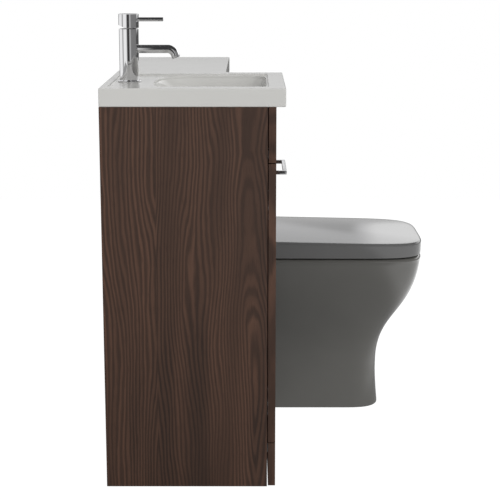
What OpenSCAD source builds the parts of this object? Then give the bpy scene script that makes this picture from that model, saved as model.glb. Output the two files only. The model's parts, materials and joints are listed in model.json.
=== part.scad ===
// Toilet and basin combination unit: a vanity cabinet with basin and mixer tap,
// and beside it a toilet unit with concealed cistern, back-to-wall pan and lid.
// Millimetres. +X is to the right of someone facing the unit, the wall is on +Y,
// +Z is up. The origin is on the floor under the middle of the whole unit.
// Inside the modules a depth is measured from the wall, and y is minus that depth.

/* [Cabinets] */
// Width of the vanity cabinet
vanity_w = 400; // [360:10:600]
// Width of the toilet unit
wc_w = 500; // [460:10:600]
// Height of both cabinets, floor to worktop
cabinet_h = 838; // [800:1:880]
// Depth of the vanity carcass without its fronts
vanity_d = 353; // [345:1:420]
// Depth of the toilet unit's carcass without its fronts
wc_d = 221; // [215:1:260]
// Thickness of the carcass boards
board_t = 16; // [15:1:19]
// Thickness of the door, fascia, panel and plinth fronts
front_t = 16; // [12:1:19]
// Gap between a carcass edge and the fronts
front_gap = 2; // [1.5:0.5:3]
// Gap between neighbouring fronts
reveal = 2; // [1.5:0.5:4]
// How far a front stays back from its cabinet's side
front_inset = 1; // [0.5:0.5:2]
// Height of the fascia fronts under the worktop
fascia_h = 118; // [110:1:140]
// Height of the plinth fronts' top edge
plinth_h = 100; // [80:1:150]
// Clearance under the plinth fronts
plinth_clear = 2; // [1:1:10]
// Thickness of the back panel
back_t = 8; // [4:1:12]
// Depth of the pipe space behind the back panel
service_void = 30; // [25:1:60]
// Height of the two wall-fixing rails
wall_rail_h = 90; // [60:1:100]
// Depth of the rail behind the joint of fascia and door
front_rail_d = 60; // [40:1:70]
// Height of the shelf above the base panel
shelf_rise = 290; // [150:1:340]
// Clearance of the shelf at each side
shelf_clear = 1; // [0.5:0.5:2]
// Diameter of a shelf pin
shelf_pin_dia = 5; // [4:0.5:7]

/* [Door and handle] */
// Spacing of the handle's legs
handle_span = 160; // [96:32:192]
// Section of the handle's square bar
handle_bar = 8; // [6:1:12]
// How far the handle stands out of the door
handle_reach = 25; // [22:1:40]
// Distance of the handle below the door's top edge
handle_drop = 36; // [30:1:80]
// Diameter of a hinge cup
hinge_cup_dia = 35; // [26:1:35]
// Depth of a hinge cup in the door
hinge_cup_depth = 12; // [10:0.5:13]
// Distance of a hinge from the door's end
hinge_end = 90; // [70:1:140]

/* [Worktop and basin] */
// Thickness of the worktop's edge
worktop_t = 39; // [30:1:50]
// Overhang of the worktop in front of the fronts
worktop_over = 20; // [10:1:30]
// Wall of the moulded worktop
worktop_wall = 12; // [10:1:16]
// Radius of the inner corner of the L
inner_corner_r = 22; // [5:1:40]
// Width of the rim beside the bowl
bowl_side_rim = 40; // [34:1:60]
// Width of the rim in front of the bowl
bowl_front_rim = 36; // [34:1:60]
// Distance of the bowl from the wall
bowl_back = 108; // [100:1:130]
// Depth of the bowl
bowl_depth = 116; // [90:1:125]
// Wall of the bowl
bowl_wall = 9; // [7:1:12]
// Depth of the tap deck's recess
deck_sink = 4; // [2:0.5:6]
// Width of the ledge behind the tap deck
deck_ledge = 15; // [8:1:20]

/* [Tap] */
// Distance of the tap's axis from the wall
tap_back = 48.5; // [45:0.5:60]
// Diameter of the tap's body
tap_dia = 43; // [38:1:50]
// Diameter of the tap's base ring
tap_ring_dia = 52; // [50:1:60]
// Thickness of the tap's base ring
tap_ring_t = 3; // [2:0.5:6]
// Height of the whole tap
tap_h = 148.5; // [130:0.5:200]
// Height of the tap's cap
cap_h = 30.5; // [26:0.5:40]
// Gap between cap and body
cap_gap = 1.2; // [1:0.1:3]
// Greatest lift of the lever in degrees
lever_lift = 20; // [10:1:22]
// Diameter of the lever pin
lever_dia = 9; // [6:0.5:12]
// Reach of the lever from the tap's axis
lever_reach = 76; // [60:1:100]
// Height of the spout's middle above the deck
spout_rise = 72; // [60:1:100]
// Outer diameter of the spout
spout_dia = 18.6; // [16:0.2:22]
// Reach of the straight part of the spout
spout_straight = 85; // [60:1:120]
// Centreline radius of the spout's bend
spout_bend_r = 16.7; // [12:0.1:30]
// Angle of the spout's bend
spout_bend = 70; // [40:1:88]
// Length of the spout after its bend
spout_tail = 8.6; // [8:0.1:30]
// Wall of the spout
spout_wall = 1.5; // [1:0.1:2]

/* [Waste] */
// Diameter of the waste's thread
waste_dia = 42; // [40:0.5:46]
// Diameter of the waste's flange
waste_flange_dia = 64; // [60:1:70]
// Travel of the pop-up plug
plug_travel = 8; // [5:1:10]
// Diameter of the bottle trap
trap_dia = 62; // [56:1:70]
// Height of the bottle trap
trap_h = 96; // [90:1:130]
// Outer diameter of the waste pipe
waste_pipe_dia = 32; // [32:1:40]

/* [Toilet pan] */
// Height of the pan's rim at its back
pan_h = 408.5; // [390:0.5:450]
// Fall of the rim towards the front in degrees
rim_fall = 0.15; // [0:0.05:1.5]
// Length of the pan in front of the panels
pan_l = 511.5; // [480:0.5:560]
// Width of the pan at its rim
pan_w = 352; // [340:1:390]
// Length of the rim's rounded front
rim_reach = 239; // [180:1:260]
// Squareness of the rim's rounded front
rim_square = 4.8; // [2:0.1:6]
// Width of the pan at its foot
foot_w = 196; // [190:1:260]
// How far the foot stays back from the rim's front
foot_back = 106.5; // [60:0.5:130]
// Length of the foot's rounded front
foot_reach = 98; // [60:1:110]
// Squareness of the foot's rounded front
foot_square = 3.3; // [2:0.1:6]
// How far the foot flares out at the floor
foot_flare = 6; // [2:0.5:12]
// Width of the flat rim
rim_w = 50; // [40:1:60]
// Height of the soil outlet's middle
soil_z = 180; // [175:1:190]
// Height of the flush inlet's middle
inlet_z = 315; // [305:1:325]
// Diameter of the pan's spigot
spigot_dia = 102; // [98:1:104]
// Outer diameter of the soil pipe
soil_dia = 110; // [110:1:112]

/* [Seat and lid] */
// Gap between the rim and the lid's edge
lid_gap = 3; // [2:0.5:6]
// Height of the lid's wrap-over edge at its back
lid_h = 42.7; // [36:0.1:50]
// Slope of the lid's top against the rim in degrees
lid_taper = 1.03; // [0:0.01:1.5]
// How far the lid stands over the rim's front
lid_front_over = 0.5; // [0:0.5:6]
// How far the lid stands over the rim's sides
lid_side_over = 1.5; // [0:0.5:6]
// Wall of the lid
lid_wall = 3.5; // [3:0.5:5]
// Radius of the lid's upper edge
lid_edge = 6; // [3:0.5:10]
// Rise of the lid's middle over its edge
lid_dome = 3; // [1:0.5:6]
// Thickness of the seat
seat_t = 18; // [14:1:22]
// Height of the seat's buffers
buffer_h = 6; // [5:0.5:9]
// Clearance between pieces of different bodies that nearly touch
touch_gap = 0.4; // [0.3:0.1:1]
// Distance of the seat's hinge from the front panel
hinge_back = 66; // [64:1:80]
// Height of the seat's hinge over the rim
hinge_rise = 14; // [13:0.5:18]
// Spacing of the seat's two hinges
hinge_span = 155; // [140:1:170]
// Diameter of the seat's hinge pins
hinge_pin_dia = 8; // [6:0.5:10]
// How far the lid reaches behind its hinge
lid_behind = 10; // [8:0.5:12]

/* [Cistern and flush] */
// Width of the cistern
tank_w = 360; // [320:1:400]
// Depth of the cistern
tank_d = 148; // [130:1:160]
// Height of the cistern
tank_h = 262; // [240:1:270]
// Wall of the cistern
tank_wall = 3; // [2.5:0.5:4]
// Height of the shelf under the cistern, at its top
tank_z = 470; // [450:1:500]
// Outer diameter of the flush pipe
flush_pipe_dia = 38; // [36:1:44]
// Travel of a flush button
button_travel = 5; // [3:0.5:7]
// Outer diameter of the flush button's bezel
bezel_dia = 72; // [66:1:80]
// Bore of the flush button's bezel
bezel_bore = 58; // [50:1:60]
// Travel of the cistern's float
float_travel = 80; // [60:1:100]
// Lift of the flush valve
valve_lift = 20; // [15:1:25]

/* [Hidden] */
$fn = 48;

eps = 0.01;
// How far a cutting form runs past the faces it cuts
cut = 1;
total_w = vanity_w + wc_w;
vanity_front = vanity_d + front_gap + front_t;
wc_front = wc_d + front_gap + front_t;
pan_front = wc_front + pan_l;
lid_l = pan_l + lid_front_over;
lid_back = hinge_back - lid_behind;
lid_top = lid_gap + lid_h;
lid_drop = tan(lid_taper);
// The lid's front reaches furthest at the top of its upright edge, tipped with the rim
lid_front = wc_front + lid_l * cos(rim_fall)
    + (lid_top - lid_edge - lid_drop * (lid_l - lid_back)) * sin(rim_fall);
total_d = max(lid_front, vanity_front + worktop_over, vanity_front + handle_reach);
worktop_z = cabinet_h + worktop_t;
base_z = plinth_h + reveal;
fascia_z = cabinet_h - fascia_h;
door_top = fascia_z - reveal;
rail_top = fascia_z - reveal / 2;
wc_x = vanity_w + wc_w / 2;
basin_x = vanity_w / 2;

// ---- Helpers ----

// Moves from the left face and the wall to the unit's own origin
module place() translate([-total_w / 2, total_d / 2, 0]) children();

// A board between two widths, two depths and two heights
module board(x0, x1, d0, d1, z0, z1)
    translate([x0, -d1, z0]) cube([x1 - x0, d1 - d0, z1 - z0]);

// A round bar along the depth, from d0 to d1
module bar_d(x, z, dia, d0, d1)
    translate([x, -d0, z]) rotate([90, 0, 0]) cylinder(d = dia, h = d1 - d0);

// A round bar along the width, from x0 to x1
module bar_x(d, z, dia, x0, x1)
    translate([x0, -d, z]) rotate([0, 90, 0]) cylinder(d = dia, h = x1 - x0);

function spow(v, p) = sign(v) * pow(abs(v), p);
function mix(a, b, t) = a + (b - a) * t;
function bezier(p, t) =
    pow(1 - t, 3) * p[0] + 3 * t * pow(1 - t, 2) * p[1] + 3 * t * t * (1 - t) * p[2] + t * t * t * p[3];

// Closed oval in plan: the front and back halves have their own reach and squareness
function oval(cx, cd, hw, front, back, nf, nb, z, count) =
    [for (i = [0:count - 1]) let (c = cos(360 * i / count), s = sin(360 * i / count))
        [cx + hw * spow(c, 2 / (s > 0 ? nf : nb)),
         -(cd + (s > 0 ? front * spow(s, 2 / nf) : back * spow(s, 2 / nb))), z]];

// D-shaped outline in plan: straight back and sides, squared oval front
function d_outline(cx, back, cd, hw, front, n, z, count) = concat(
    [[cx + hw, -back, z]],
    [for (i = [0:count]) let (c = cos(180 * i / count), s = sin(180 * i / count))
        [cx + hw * spow(c, 2 / n), -(cd + (front - cd) * spow(s, 2 / n)), z]],
    [[cx - hw, -back, z]]);

// Closed solid through rings of points, the lowest ring first
module loft(rings) {
    count = len(rings[0]);
    last = len(rings) - 1;
    polyhedron(
        points = [for (r = rings) each r],
        faces = concat(
            [[for (j = [count - 1:-1:0]) j]],
            [for (i = [0:last - 1], j = [0:count - 1]) let (k = (j + 1) % count)
                each [[i * count + j, i * count + k, (i + 1) * count + k],
                      [i * count + j, (i + 1) * count + k, (i + 1) * count + j]]],
            [[for (j = [0:count - 1]) last * count + j]]),
        convexity = 6);
}

// ---- Cabinets ----

module walnut() color([0.25, 0.18, 0.16]) children();
module steel() color([0.62, 0.63, 0.65]) children();
module chrome() color([0.80, 0.81, 0.83]) children();
module white_plastic() color([0.90, 0.90, 0.88]) children();
module grey_ceramic() color([0.42, 0.42, 0.41]) children();

module vanity_side_left() walnut() place()
    board(0, board_t, 0, vanity_d, 0, cabinet_h);

module vanity_side_right() walnut() place()
    board(vanity_w - board_t, vanity_w, 0, vanity_d, 0, cabinet_h);

module vanity_base() walnut() place()
    board(board_t, vanity_w - board_t, service_void, vanity_d, base_z, base_z + board_t);

pipe_hole_clear = 7;
pipe_hole_dia = waste_pipe_dia + 2 * pipe_hole_clear;
module vanity_back_panel() walnut() place() difference() {
    board(board_t, vanity_w - board_t, service_void, service_void + back_t,
          base_z + board_t, cabinet_h - wall_rail_h);
    bar_d(basin_x, trap_out_z, pipe_hole_dia, service_void - eps, service_void + back_t + eps);
}

module vanity_front_rail() walnut() place()
    board(board_t, vanity_w - board_t, vanity_d - front_rail_d, vanity_d,
          rail_top - board_t, rail_top);

wall_screw_dia = 6;
wall_screw_inset = 60;
module wall_rail(x0, x1) difference() {
    board(x0, x1, 0, board_t, cabinet_h - wall_rail_h, cabinet_h);
    for (x = [x0 + wall_screw_inset, x1 - wall_screw_inset])
        bar_d(x, cabinet_h - wall_rail_h / 2, wall_screw_dia, -eps, board_t + eps);
}
module vanity_wall_rail() walnut() place() wall_rail(board_t, vanity_w - board_t);

shelf_z = base_z + board_t + shelf_rise;
shelf_setback = 20;
pin_inset = 50;
pin_reach = 8;
module vanity_shelf() walnut() place()
    board(board_t + shelf_clear, vanity_w - board_t - shelf_clear,
          service_void + back_t + shelf_clear, vanity_d - shelf_setback, shelf_z, shelf_z + board_t);

module shelf_pins() steel() place()
    for (d = [service_void + back_t + pin_inset, vanity_d - shelf_setback - pin_inset]) {
        bar_x(d, shelf_z - shelf_pin_dia / 2, shelf_pin_dia, board_t, board_t + pin_reach);
        bar_x(d, shelf_z - shelf_pin_dia / 2, shelf_pin_dia,
              vanity_w - board_t - pin_reach, vanity_w - board_t);
    }

// A front board of the vanity or the toilet unit, between two heights
module vanity_face(z0, z1)
    board(front_inset, vanity_w - front_inset, vanity_d + front_gap, vanity_front, z0, z1);
module wc_face(z0, z1)
    board(vanity_w + front_inset, total_w - front_inset, wc_d + front_gap, wc_front, z0, z1);

module vanity_fascia() walnut() place() vanity_face(fascia_z, cabinet_h);
module vanity_plinth() walnut() place() vanity_face(plinth_clear, plinth_h);

// The door's two cup hinges
cup_edge = 5;
cup_x = front_inset + cup_edge + hinge_cup_dia / 2;
hinge_zs = [base_z + hinge_end, door_top - hinge_end];
screw_dia = 4;
handle_z = door_top - handle_drop;
handle_xs = [basin_x - handle_span / 2, basin_x + handle_span / 2];

module vanity_door() walnut() place() difference() {
    vanity_face(base_z, door_top);
    for (z = hinge_zs)
        bar_d(cup_x, z, hinge_cup_dia, vanity_d + front_gap - eps,
              vanity_d + front_gap + hinge_cup_depth);
    for (x = handle_xs)
        bar_d(x, handle_z, screw_dia, vanity_d + front_gap - eps, vanity_front + eps);
}

module door_handle() chrome() place() difference() {
    union() {
        board(handle_xs[0] - handle_bar / 2, handle_xs[1] + handle_bar / 2,
              vanity_front + handle_reach - handle_bar, vanity_front + handle_reach,
              handle_z - handle_bar / 2, handle_z + handle_bar / 2);
        for (x = handle_xs)
            board(x - handle_bar / 2, x + handle_bar / 2, vanity_front,
                  vanity_front + handle_reach - handle_bar + eps,
                  handle_z - handle_bar / 2, handle_z + handle_bar / 2);
    }
    for (x = handle_xs)
        bar_d(x, handle_z, screw_dia, vanity_front - eps, vanity_front + handle_bar);
}

screw_head_dia = 7.5;
screw_head_t = 1.6;
module handle_screws() steel() place()
    for (x = handle_xs) {
        bar_d(x, handle_z, screw_dia, vanity_d + front_gap, vanity_front + handle_bar);
        bar_d(x, handle_z, screw_head_dia, vanity_d + front_gap - screw_head_t,
              vanity_d + front_gap);
    }

cup_flange_t = 1;
cup_flange_h = 62;
cup_flange_out = 8;
cup_flange_in = 6;
cup_wall = 1;
module hinge_cups() steel() place()
    for (z = hinge_zs) difference() {
        union() {
            bar_d(cup_x, z, hinge_cup_dia, vanity_d + front_gap - cup_flange_t,
                  vanity_d + front_gap + hinge_cup_depth);
            board(cup_x - cup_flange_out, cup_x + cup_flange_in,
                  vanity_d + front_gap - cup_flange_t, vanity_d + front_gap,
                  z - cup_flange_h / 2, z + cup_flange_h / 2);
        }
        bar_d(cup_x, z, hinge_cup_dia - 2 * cup_wall, vanity_d + front_gap - cup_flange_t - eps,
              vanity_d + front_gap + hinge_cup_depth - cup_wall);
    }

// The arm reaches from its plate on the side panel into the mouth of the cup
arm_t = 5;
arm_h = 12;
arm_plate_t = 2;
arm_plate_h = 48;
arm_plate_front = 12;
arm_reach = 5;
arm_back = 58;
arm_setback = 4;
module hinge_arms() steel() place()
    for (z = hinge_zs) {
        board(board_t, board_t + arm_plate_t, vanity_d - arm_back, vanity_d - arm_plate_front,
              z - arm_plate_h / 2, z + arm_plate_h / 2);
        board(board_t + arm_plate_t, board_t + arm_plate_t + arm_t,
              vanity_d - arm_back + arm_setback, vanity_d + front_gap + arm_reach,
              z - arm_h / 2, z + arm_h / 2);
    }

// Angle brackets that hold the fixed fronts to the side panels
bracket_leg = 20;
bracket_t = 1.5;
bracket_h = 20;
module bracket(x, side, d, z) {
    x0 = side > 0 ? x : x - bracket_t;
    x1 = side > 0 ? x : x - bracket_leg;
    board(x0, x0 + bracket_t, d - bracket_leg - front_gap, d, z, z + bracket_h);
    board(x1, x1 + bracket_leg, d - bracket_t, d, z, z + bracket_h);
}
bracket_rise = 6;
module panel_brackets() steel() place() {
    for (z = [fascia_z + bracket_rise, plinth_h - bracket_rise - bracket_h]) {
        bracket(board_t, 1, vanity_d + front_gap, z);
        bracket(vanity_w - board_t, -1, vanity_d + front_gap, z);
        bracket(vanity_w + board_t, 1, wc_d + front_gap, z);
        bracket(total_w - board_t, -1, wc_d + front_gap, z);
    }
    for (z = [base_z + bracket_rise, door_top - board_t - bracket_h - bracket_rise]) {
        bracket(vanity_w + board_t, 1, wc_d + front_gap, z);
        bracket(total_w - board_t, -1, wc_d + front_gap, z);
    }
}

module wc_side_left() walnut() place()
    board(vanity_w, vanity_w + board_t, 0, wc_d, 0, cabinet_h);

module wc_side_right() walnut() place()
    board(total_w - board_t, total_w, 0, wc_d, 0, cabinet_h);

tank_clear = 4;
tank_back = board_t + tank_clear;
tank_front = tank_back + tank_d;
rail_clear = 8;
module wc_front_rail() walnut() place()
    board(vanity_w + board_t, total_w - board_t, tank_front + rail_clear, wc_d,
          rail_top - board_t, rail_top);

module wc_wall_rail() walnut() place() wall_rail(vanity_w + board_t, total_w - board_t);

// The flush pipe and its bores share one axis at the cistern and one at the pan
outlet_d = tank_back + tank_d / 2;
tail_wall = 7;
tail_dia = flush_pipe_dia + 2 * tail_wall;
tail_clear = 1;
module cistern_shelf() walnut() place() difference() {
    board(vanity_w + board_t, total_w - board_t, 0, tank_front + rail_clear,
          tank_z - board_t, tank_z);
    translate([wc_x, -outlet_d, tank_z - board_t - eps])
        cylinder(d = tail_dia + 2 * tail_clear, h = board_t + 2 * eps);
}

button_z = cabinet_h - fascia_h / 2;
bezel_wall = 1.5;
bezel_clear = 0.5;
bezel_tube_dia = bezel_bore + 2 * bezel_wall;
bezel_hole_dia = bezel_tube_dia + 2 * bezel_clear;
module wc_fascia() walnut() place() difference() {
    wc_face(fascia_z, cabinet_h);
    bar_d(wc_x, button_z, bezel_hole_dia, wc_d, wc_front + eps);
}

soil_hole_clear = 11;
inlet_hole_clear = 6;
soil_hole_dia = soil_dia + 2 * soil_hole_clear;
inlet_hole_dia = flush_pipe_dia + 2 * inlet_hole_clear;
module wc_front_panel() walnut() place() difference() {
    wc_face(base_z, door_top);
    bar_d(wc_x, soil_z, soil_hole_dia, wc_d, wc_front + eps);
    bar_d(wc_x, inlet_z, inlet_hole_dia, wc_d, wc_front + eps);
}

module wc_plinth() walnut() place() wc_face(plinth_clear, plinth_h);

// ---- Worktop, basin and waste ----

worktop_front = vanity_front + worktop_over;
wc_top_front = wc_front + worktop_over;
bowl_front = worktop_front - bowl_front_rim;
bowl_hw = vanity_w / 2 - bowl_side_rim;
bowl_cd = (bowl_back + bowl_front) / 2;
bowl_hd = (bowl_front - bowl_back) / 2;
bowl_points = 56;
waste_shift = 10;
waste_d = bowl_cd - waste_shift;
floor_z = worktop_z - bowl_depth;
// Fractions of the bowl's depth with the share of the opening left at each
bowl_steps = [[0, 1], [0.08, 0.97], [0.28, 0.92], [0.60, 0.87], [0.82, 0.79], [0.93, 0.68],
              [0.98, 0.52], [1, 0.30]];

// One ring of the bowl, grown outwards by a wall
function bowl_ring(step, wall) =
    let (down = step[0], share = step[1], cd = mix(bowl_cd, waste_d, down * down))
    oval(basin_x, cd, bowl_hw * share + wall, bowl_hd * share + wall, bowl_hd * share + wall,
         mix(7, 2.4, down * down), mix(3.4, 2.4, down * down),
         worktop_z - bowl_depth * down - wall, bowl_points);

module bowl(wall, top)
    loft(concat([for (i = [len(bowl_steps) - 1:-1:0]) bowl_ring(bowl_steps[i], wall)],
                [[for (p = bowl_ring(bowl_steps[0], wall)) [p[0], p[1], top]]]));

// The L-shaped plan of the worktop, drawn in by a margin
module worktop_plan(m = 0) {
    r = inner_corner_r;
    difference() {
        polygon([[m, -m], [total_w - m, -m], [total_w - m, -wc_top_front + m],
                 [vanity_w + r - m, -wc_top_front + m], [vanity_w - m, -wc_top_front - r + m],
                 [vanity_w - m, -worktop_front + m], [m, -worktop_front + m]]);
        translate([vanity_w + r - m, -wc_top_front - r + m]) circle(r = r);
    }
}

deck_inset = 6;
deck_side = bowl_side_rim + deck_inset;
tap_hole_dia = 35;
waste_clear = 1;
waste_hole_dia = waste_dia + 2 * waste_clear;
overflow_drop = 38;
overflow_z = worktop_z - overflow_drop;
overflow_hole_dia = 22;
overflow_clear = 0.25;
overflow_ring_bore = 16;
overflow_reach = 8;
module basin_worktop() color([0.82, 0.82, 0.81]) place() difference() {
    union() {
        difference() {
            translate([0, 0, cabinet_h]) linear_extrude(worktop_t) worktop_plan();
            difference() {
                translate([0, 0, cabinet_h - eps])
                    linear_extrude(worktop_t - worktop_wall) worktop_plan(board_t);
                board(vanity_w - board_t, vanity_w + board_t, 0, worktop_front,
                      cabinet_h - cut, worktop_z);
                translate([basin_x, -tap_back, cabinet_h - cut])
                    cylinder(d = tap_ring_dia, h = worktop_t);
            }
        }
        bowl(bowl_wall, worktop_z - deck_sink);
    }
    bowl(0, worktop_z + cut);
    // Recessed tap deck that drains into the bowl
    board(deck_side, vanity_w - deck_side, deck_ledge, bowl_cd, worktop_z - deck_sink,
          worktop_z + cut);
    translate([basin_x, -tap_back, cabinet_h - cut])
        cylinder(d = tap_hole_dia, h = worktop_t + 2 * cut);
    translate([basin_x, -waste_d, floor_z - 3 * bowl_wall])
        cylinder(d = waste_hole_dia, h = 4 * bowl_wall);
    bar_d(basin_x, overflow_z, overflow_hole_dia, bowl_back - 2 * bowl_wall, bowl_cd);
}

module overflow_ring() chrome() place() difference() {
    bar_d(basin_x, overflow_z, overflow_hole_dia - 2 * overflow_clear, bowl_back - bowl_wall,
          bowl_back + overflow_reach);
    bar_d(basin_x, overflow_z, overflow_ring_bore, bowl_back - bowl_wall - eps,
          bowl_back + overflow_reach + eps);
}

flange_t = 2.5;
waste_tail = 62;
waste_wall = 3.5;
waste_bore = waste_dia - 2 * waste_wall;
module waste_body() chrome() place() translate([basin_x, -waste_d, 0]) difference() {
    union() {
        translate([0, 0, floor_z]) cylinder(d = waste_flange_dia, h = flange_t);
        translate([0, 0, floor_z - waste_tail]) cylinder(d = waste_dia, h = waste_tail + eps);
    }
    translate([0, 0, floor_z - waste_tail - eps])
        cylinder(d = waste_bore, h = waste_tail + flange_t + 2 * eps);
}

nut_t = 9;
nut_wall = 9;
module waste_nut() steel() place() translate([basin_x, -waste_d, floor_z - bowl_wall - nut_t])
    difference() {
        cylinder(d = waste_dia + 2 * nut_wall, h = nut_t, $fn = 6);
        translate([0, 0, -eps]) cylinder(d = waste_dia, h = nut_t + 2 * eps);
    }

plug_margin = 2;
plug_dia = waste_flange_dia - 2 * plug_margin;
plug_t = 5;
plug_edge = 1;
plug_round = 3;
plug_stem = 9;
plug_stem_l = 40;
module waste_plug() chrome() place()
    translate([basin_x, -waste_d, floor_z + flange_t + touch_gap + plug_travel]) {
        rotate_extrude() polygon([[0, 0], [plug_dia / 2 - plug_edge, 0],
                                  [plug_dia / 2, plug_edge],
                                  [plug_dia / 2, plug_t - 2 * plug_edge],
                                  [plug_dia / 2 - plug_round, plug_t - plug_edge / 2],
                                  [0, plug_t]]);
        translate([0, 0, -plug_stem_l]) cylinder(d = plug_stem, h = plug_stem_l + eps);
    }

// The trap hangs from the waste's tail and leaves towards the wall
trap_nut_h = 20;
trap_top = floor_z - waste_tail + trap_nut_h;
trap_body_h = 42;
trap_out_z = trap_top - trap_nut_h - trap_body_h / 2;
trap_cup_h = trap_h - trap_body_h;
trap_wall = 4;
trap_nut_wall = 8;
trap_neck = 10;
branch_wall = 4;
branch_l = 20;
module trap_body() white_plastic() place() translate([basin_x, -waste_d, 0]) difference() {
    union() {
        translate([0, 0, trap_top - trap_nut_h])
            cylinder(d = waste_dia + 2 * trap_nut_wall, h = trap_nut_h);
        translate([0, 0, trap_top - trap_nut_h - trap_body_h])
            cylinder(d = trap_dia, h = trap_body_h + eps);
        translate([0, 0, trap_out_z]) rotate([-90, 0, 0])
            cylinder(d = waste_pipe_dia + 2 * branch_wall, h = trap_dia / 2 + branch_l);
    }
    translate([0, 0, trap_top - trap_nut_h]) cylinder(d = waste_dia, h = trap_nut_h + cut);
    translate([0, 0, trap_top - trap_nut_h - trap_body_h - cut])
        cylinder(d = trap_dia - 2 * trap_wall, h = trap_body_h - trap_wall + cut);
    translate([0, 0, trap_top - trap_nut_h - trap_neck]) cylinder(d = waste_bore, h = 2 * trap_neck);
    translate([0, 0, trap_out_z]) rotate([-90, 0, 0])
        cylinder(d = waste_pipe_dia, h = trap_dia / 2 + branch_l + cut);
}

cup_foot = 10;
cup_draft = 2;
cup_round = 8;
cup_grip = 3;
cup_grip_h = 12;
module trap_cup() white_plastic() place()
    translate([basin_x, -waste_d, trap_top - trap_nut_h - trap_body_h - trap_cup_h])
        difference() {
            rotate_extrude() polygon([[0, 0], [trap_dia / 2 - cup_foot, 0],
                                      [trap_dia / 2 - cup_draft, cup_round],
                                      [trap_dia / 2, trap_cup_h - cup_grip_h - cup_draft],
                                      [trap_dia / 2 + cup_grip, trap_cup_h - cup_grip_h],
                                      [trap_dia / 2 + cup_grip, trap_cup_h], [0, trap_cup_h]]);
            translate([0, 0, cup_round]) cylinder(d = trap_dia - 2 * trap_wall, h = trap_cup_h);
        }

waste_pipe_wall = 2;
outlet_end = waste_d - trap_dia / 2 + trap_wall;
trap_flange_edge = 11;
trap_flange_t = 4;
back_face = service_void + back_t;
// A bead round the pipe carries the flange; the end behind it is free for the wall's pipe
pipe_bead = 1;
bead_dia = waste_pipe_dia + 2 * pipe_bead;
module trap_outlet() white_plastic() place() difference() {
    union() {
        bar_d(basin_x, trap_out_z, waste_pipe_dia, 0, outlet_end);
        bar_d(basin_x, trap_out_z, bead_dia, back_face, back_face + trap_flange_t);
    }
    bar_d(basin_x, trap_out_z, waste_pipe_dia - 2 * waste_pipe_wall, -eps, outlet_end + eps);
}

module trap_flange() white_plastic() place() difference() {
    bar_d(basin_x, trap_out_z, pipe_hole_dia + 2 * trap_flange_edge, back_face,
          back_face + trap_flange_t);
    bar_d(basin_x, trap_out_z, bead_dia, back_face - eps, back_face + trap_flange_t + eps);
}

// ---- Tap ----

deck_z = worktop_z - deck_sink;
tap_top = deck_z + tap_h;
cap_z = tap_top - cap_h;
body_top = cap_z - cap_gap;
module at_tap(z) translate([basin_x, -tap_back, z]) children();

module tap_base_ring() chrome() place() at_tap(deck_z) difference() {
    rotate_extrude() polygon([[0, 0], [tap_ring_dia / 2, 0],
                              [tap_ring_dia / 2, tap_ring_t - ring_chamfer],
                              [tap_ring_dia / 2 - ring_chamfer, tap_ring_t], [0, tap_ring_t]]);
    translate([0, 0, -eps]) cylinder(d = tap_hole_dia - 2 * shank_clear, h = tap_ring_t + cut);
}

spout_z = deck_z + spout_rise;
tap_chamfer = 0.8;
ring_chamfer = 1;
shank_clear = 1;
module tap_body() chrome() place() at_tap(0) difference() {
    rotate_extrude() polygon([[0, deck_z + tap_ring_t], [tap_dia / 2, deck_z + tap_ring_t],
                              [tap_dia / 2, body_top - tap_chamfer],
                              [tap_dia / 2 - tap_chamfer, body_top], [0, body_top]]);
    translate([0, 0, spout_z]) rotate([90, 0, 0]) cylinder(d = spout_dia, h = tap_dia);
    translate([0, 0, body_top - cartridge_seat])
        cylinder(d = cartridge_dia, h = cartridge_seat + cut);
}

// Stations on the spout's middle line: reach from the tap's axis, height and slope
spout_inner = spout_dia - 2 * spout_wall;
spout_sides = 28;
bend_steps = 8;
function spout_line(extra) = concat(
    [[-extra, spout_z, 0]],
    [for (i = [0:bend_steps]) let (a = spout_bend * i / bend_steps)
        [spout_straight + spout_bend_r * sin(a), spout_z - spout_bend_r * (1 - cos(a)), a]],
    [[spout_straight + spout_bend_r * sin(spout_bend) + (spout_tail + extra) * cos(spout_bend),
      spout_z - spout_bend_r * (1 - cos(spout_bend)) - (spout_tail + extra) * sin(spout_bend),
      spout_bend]]);
function spout_ring(s, r) = [for (i = [0:spout_sides - 1]) let (a = 360 * i / spout_sides)
    [r * cos(a), r * sin(a) * sin(s[2]) - s[0], s[1] - r * sin(a) * cos(s[2])]];
module spout_form(dia, extra) loft([for (s = spout_line(extra)) spout_ring(s, dia / 2)]);

module tap_spout() chrome() place() at_tap(0) difference() {
    spout_form(spout_dia, 0);
    spout_form(spout_inner, cut);
}

// Moves to the end of the spout's bend, with +Z along the tail
module at_bend_end() translate([0, -spout_straight, spout_z - spout_bend_r])
    rotate([spout_bend, 0, 0]) translate([0, 0, spout_bend_r]) rotate([90, 0, 0]) children();

aerator_t = 6;
aerator_back = 1;
// The spout's bore is a loft, so the round insert fits its flats
aerator_dia = spout_inner * cos(180 / spout_sides);
aerator_hole_dia = 2.6;
aerator_hole_r = 4;
module tap_aerator() white_plastic() place() at_tap(0) at_bend_end()
    translate([0, 0, spout_tail - aerator_t - aerator_back]) difference() {
        cylinder(d = aerator_dia, h = aerator_t);
        for (a = [0:60:300]) rotate([0, 0, a]) translate([aerator_hole_r, 0, -eps])
            cylinder(d = aerator_hole_dia, h = aerator_t + 2 * eps, $fn = 16);
    }

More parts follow.
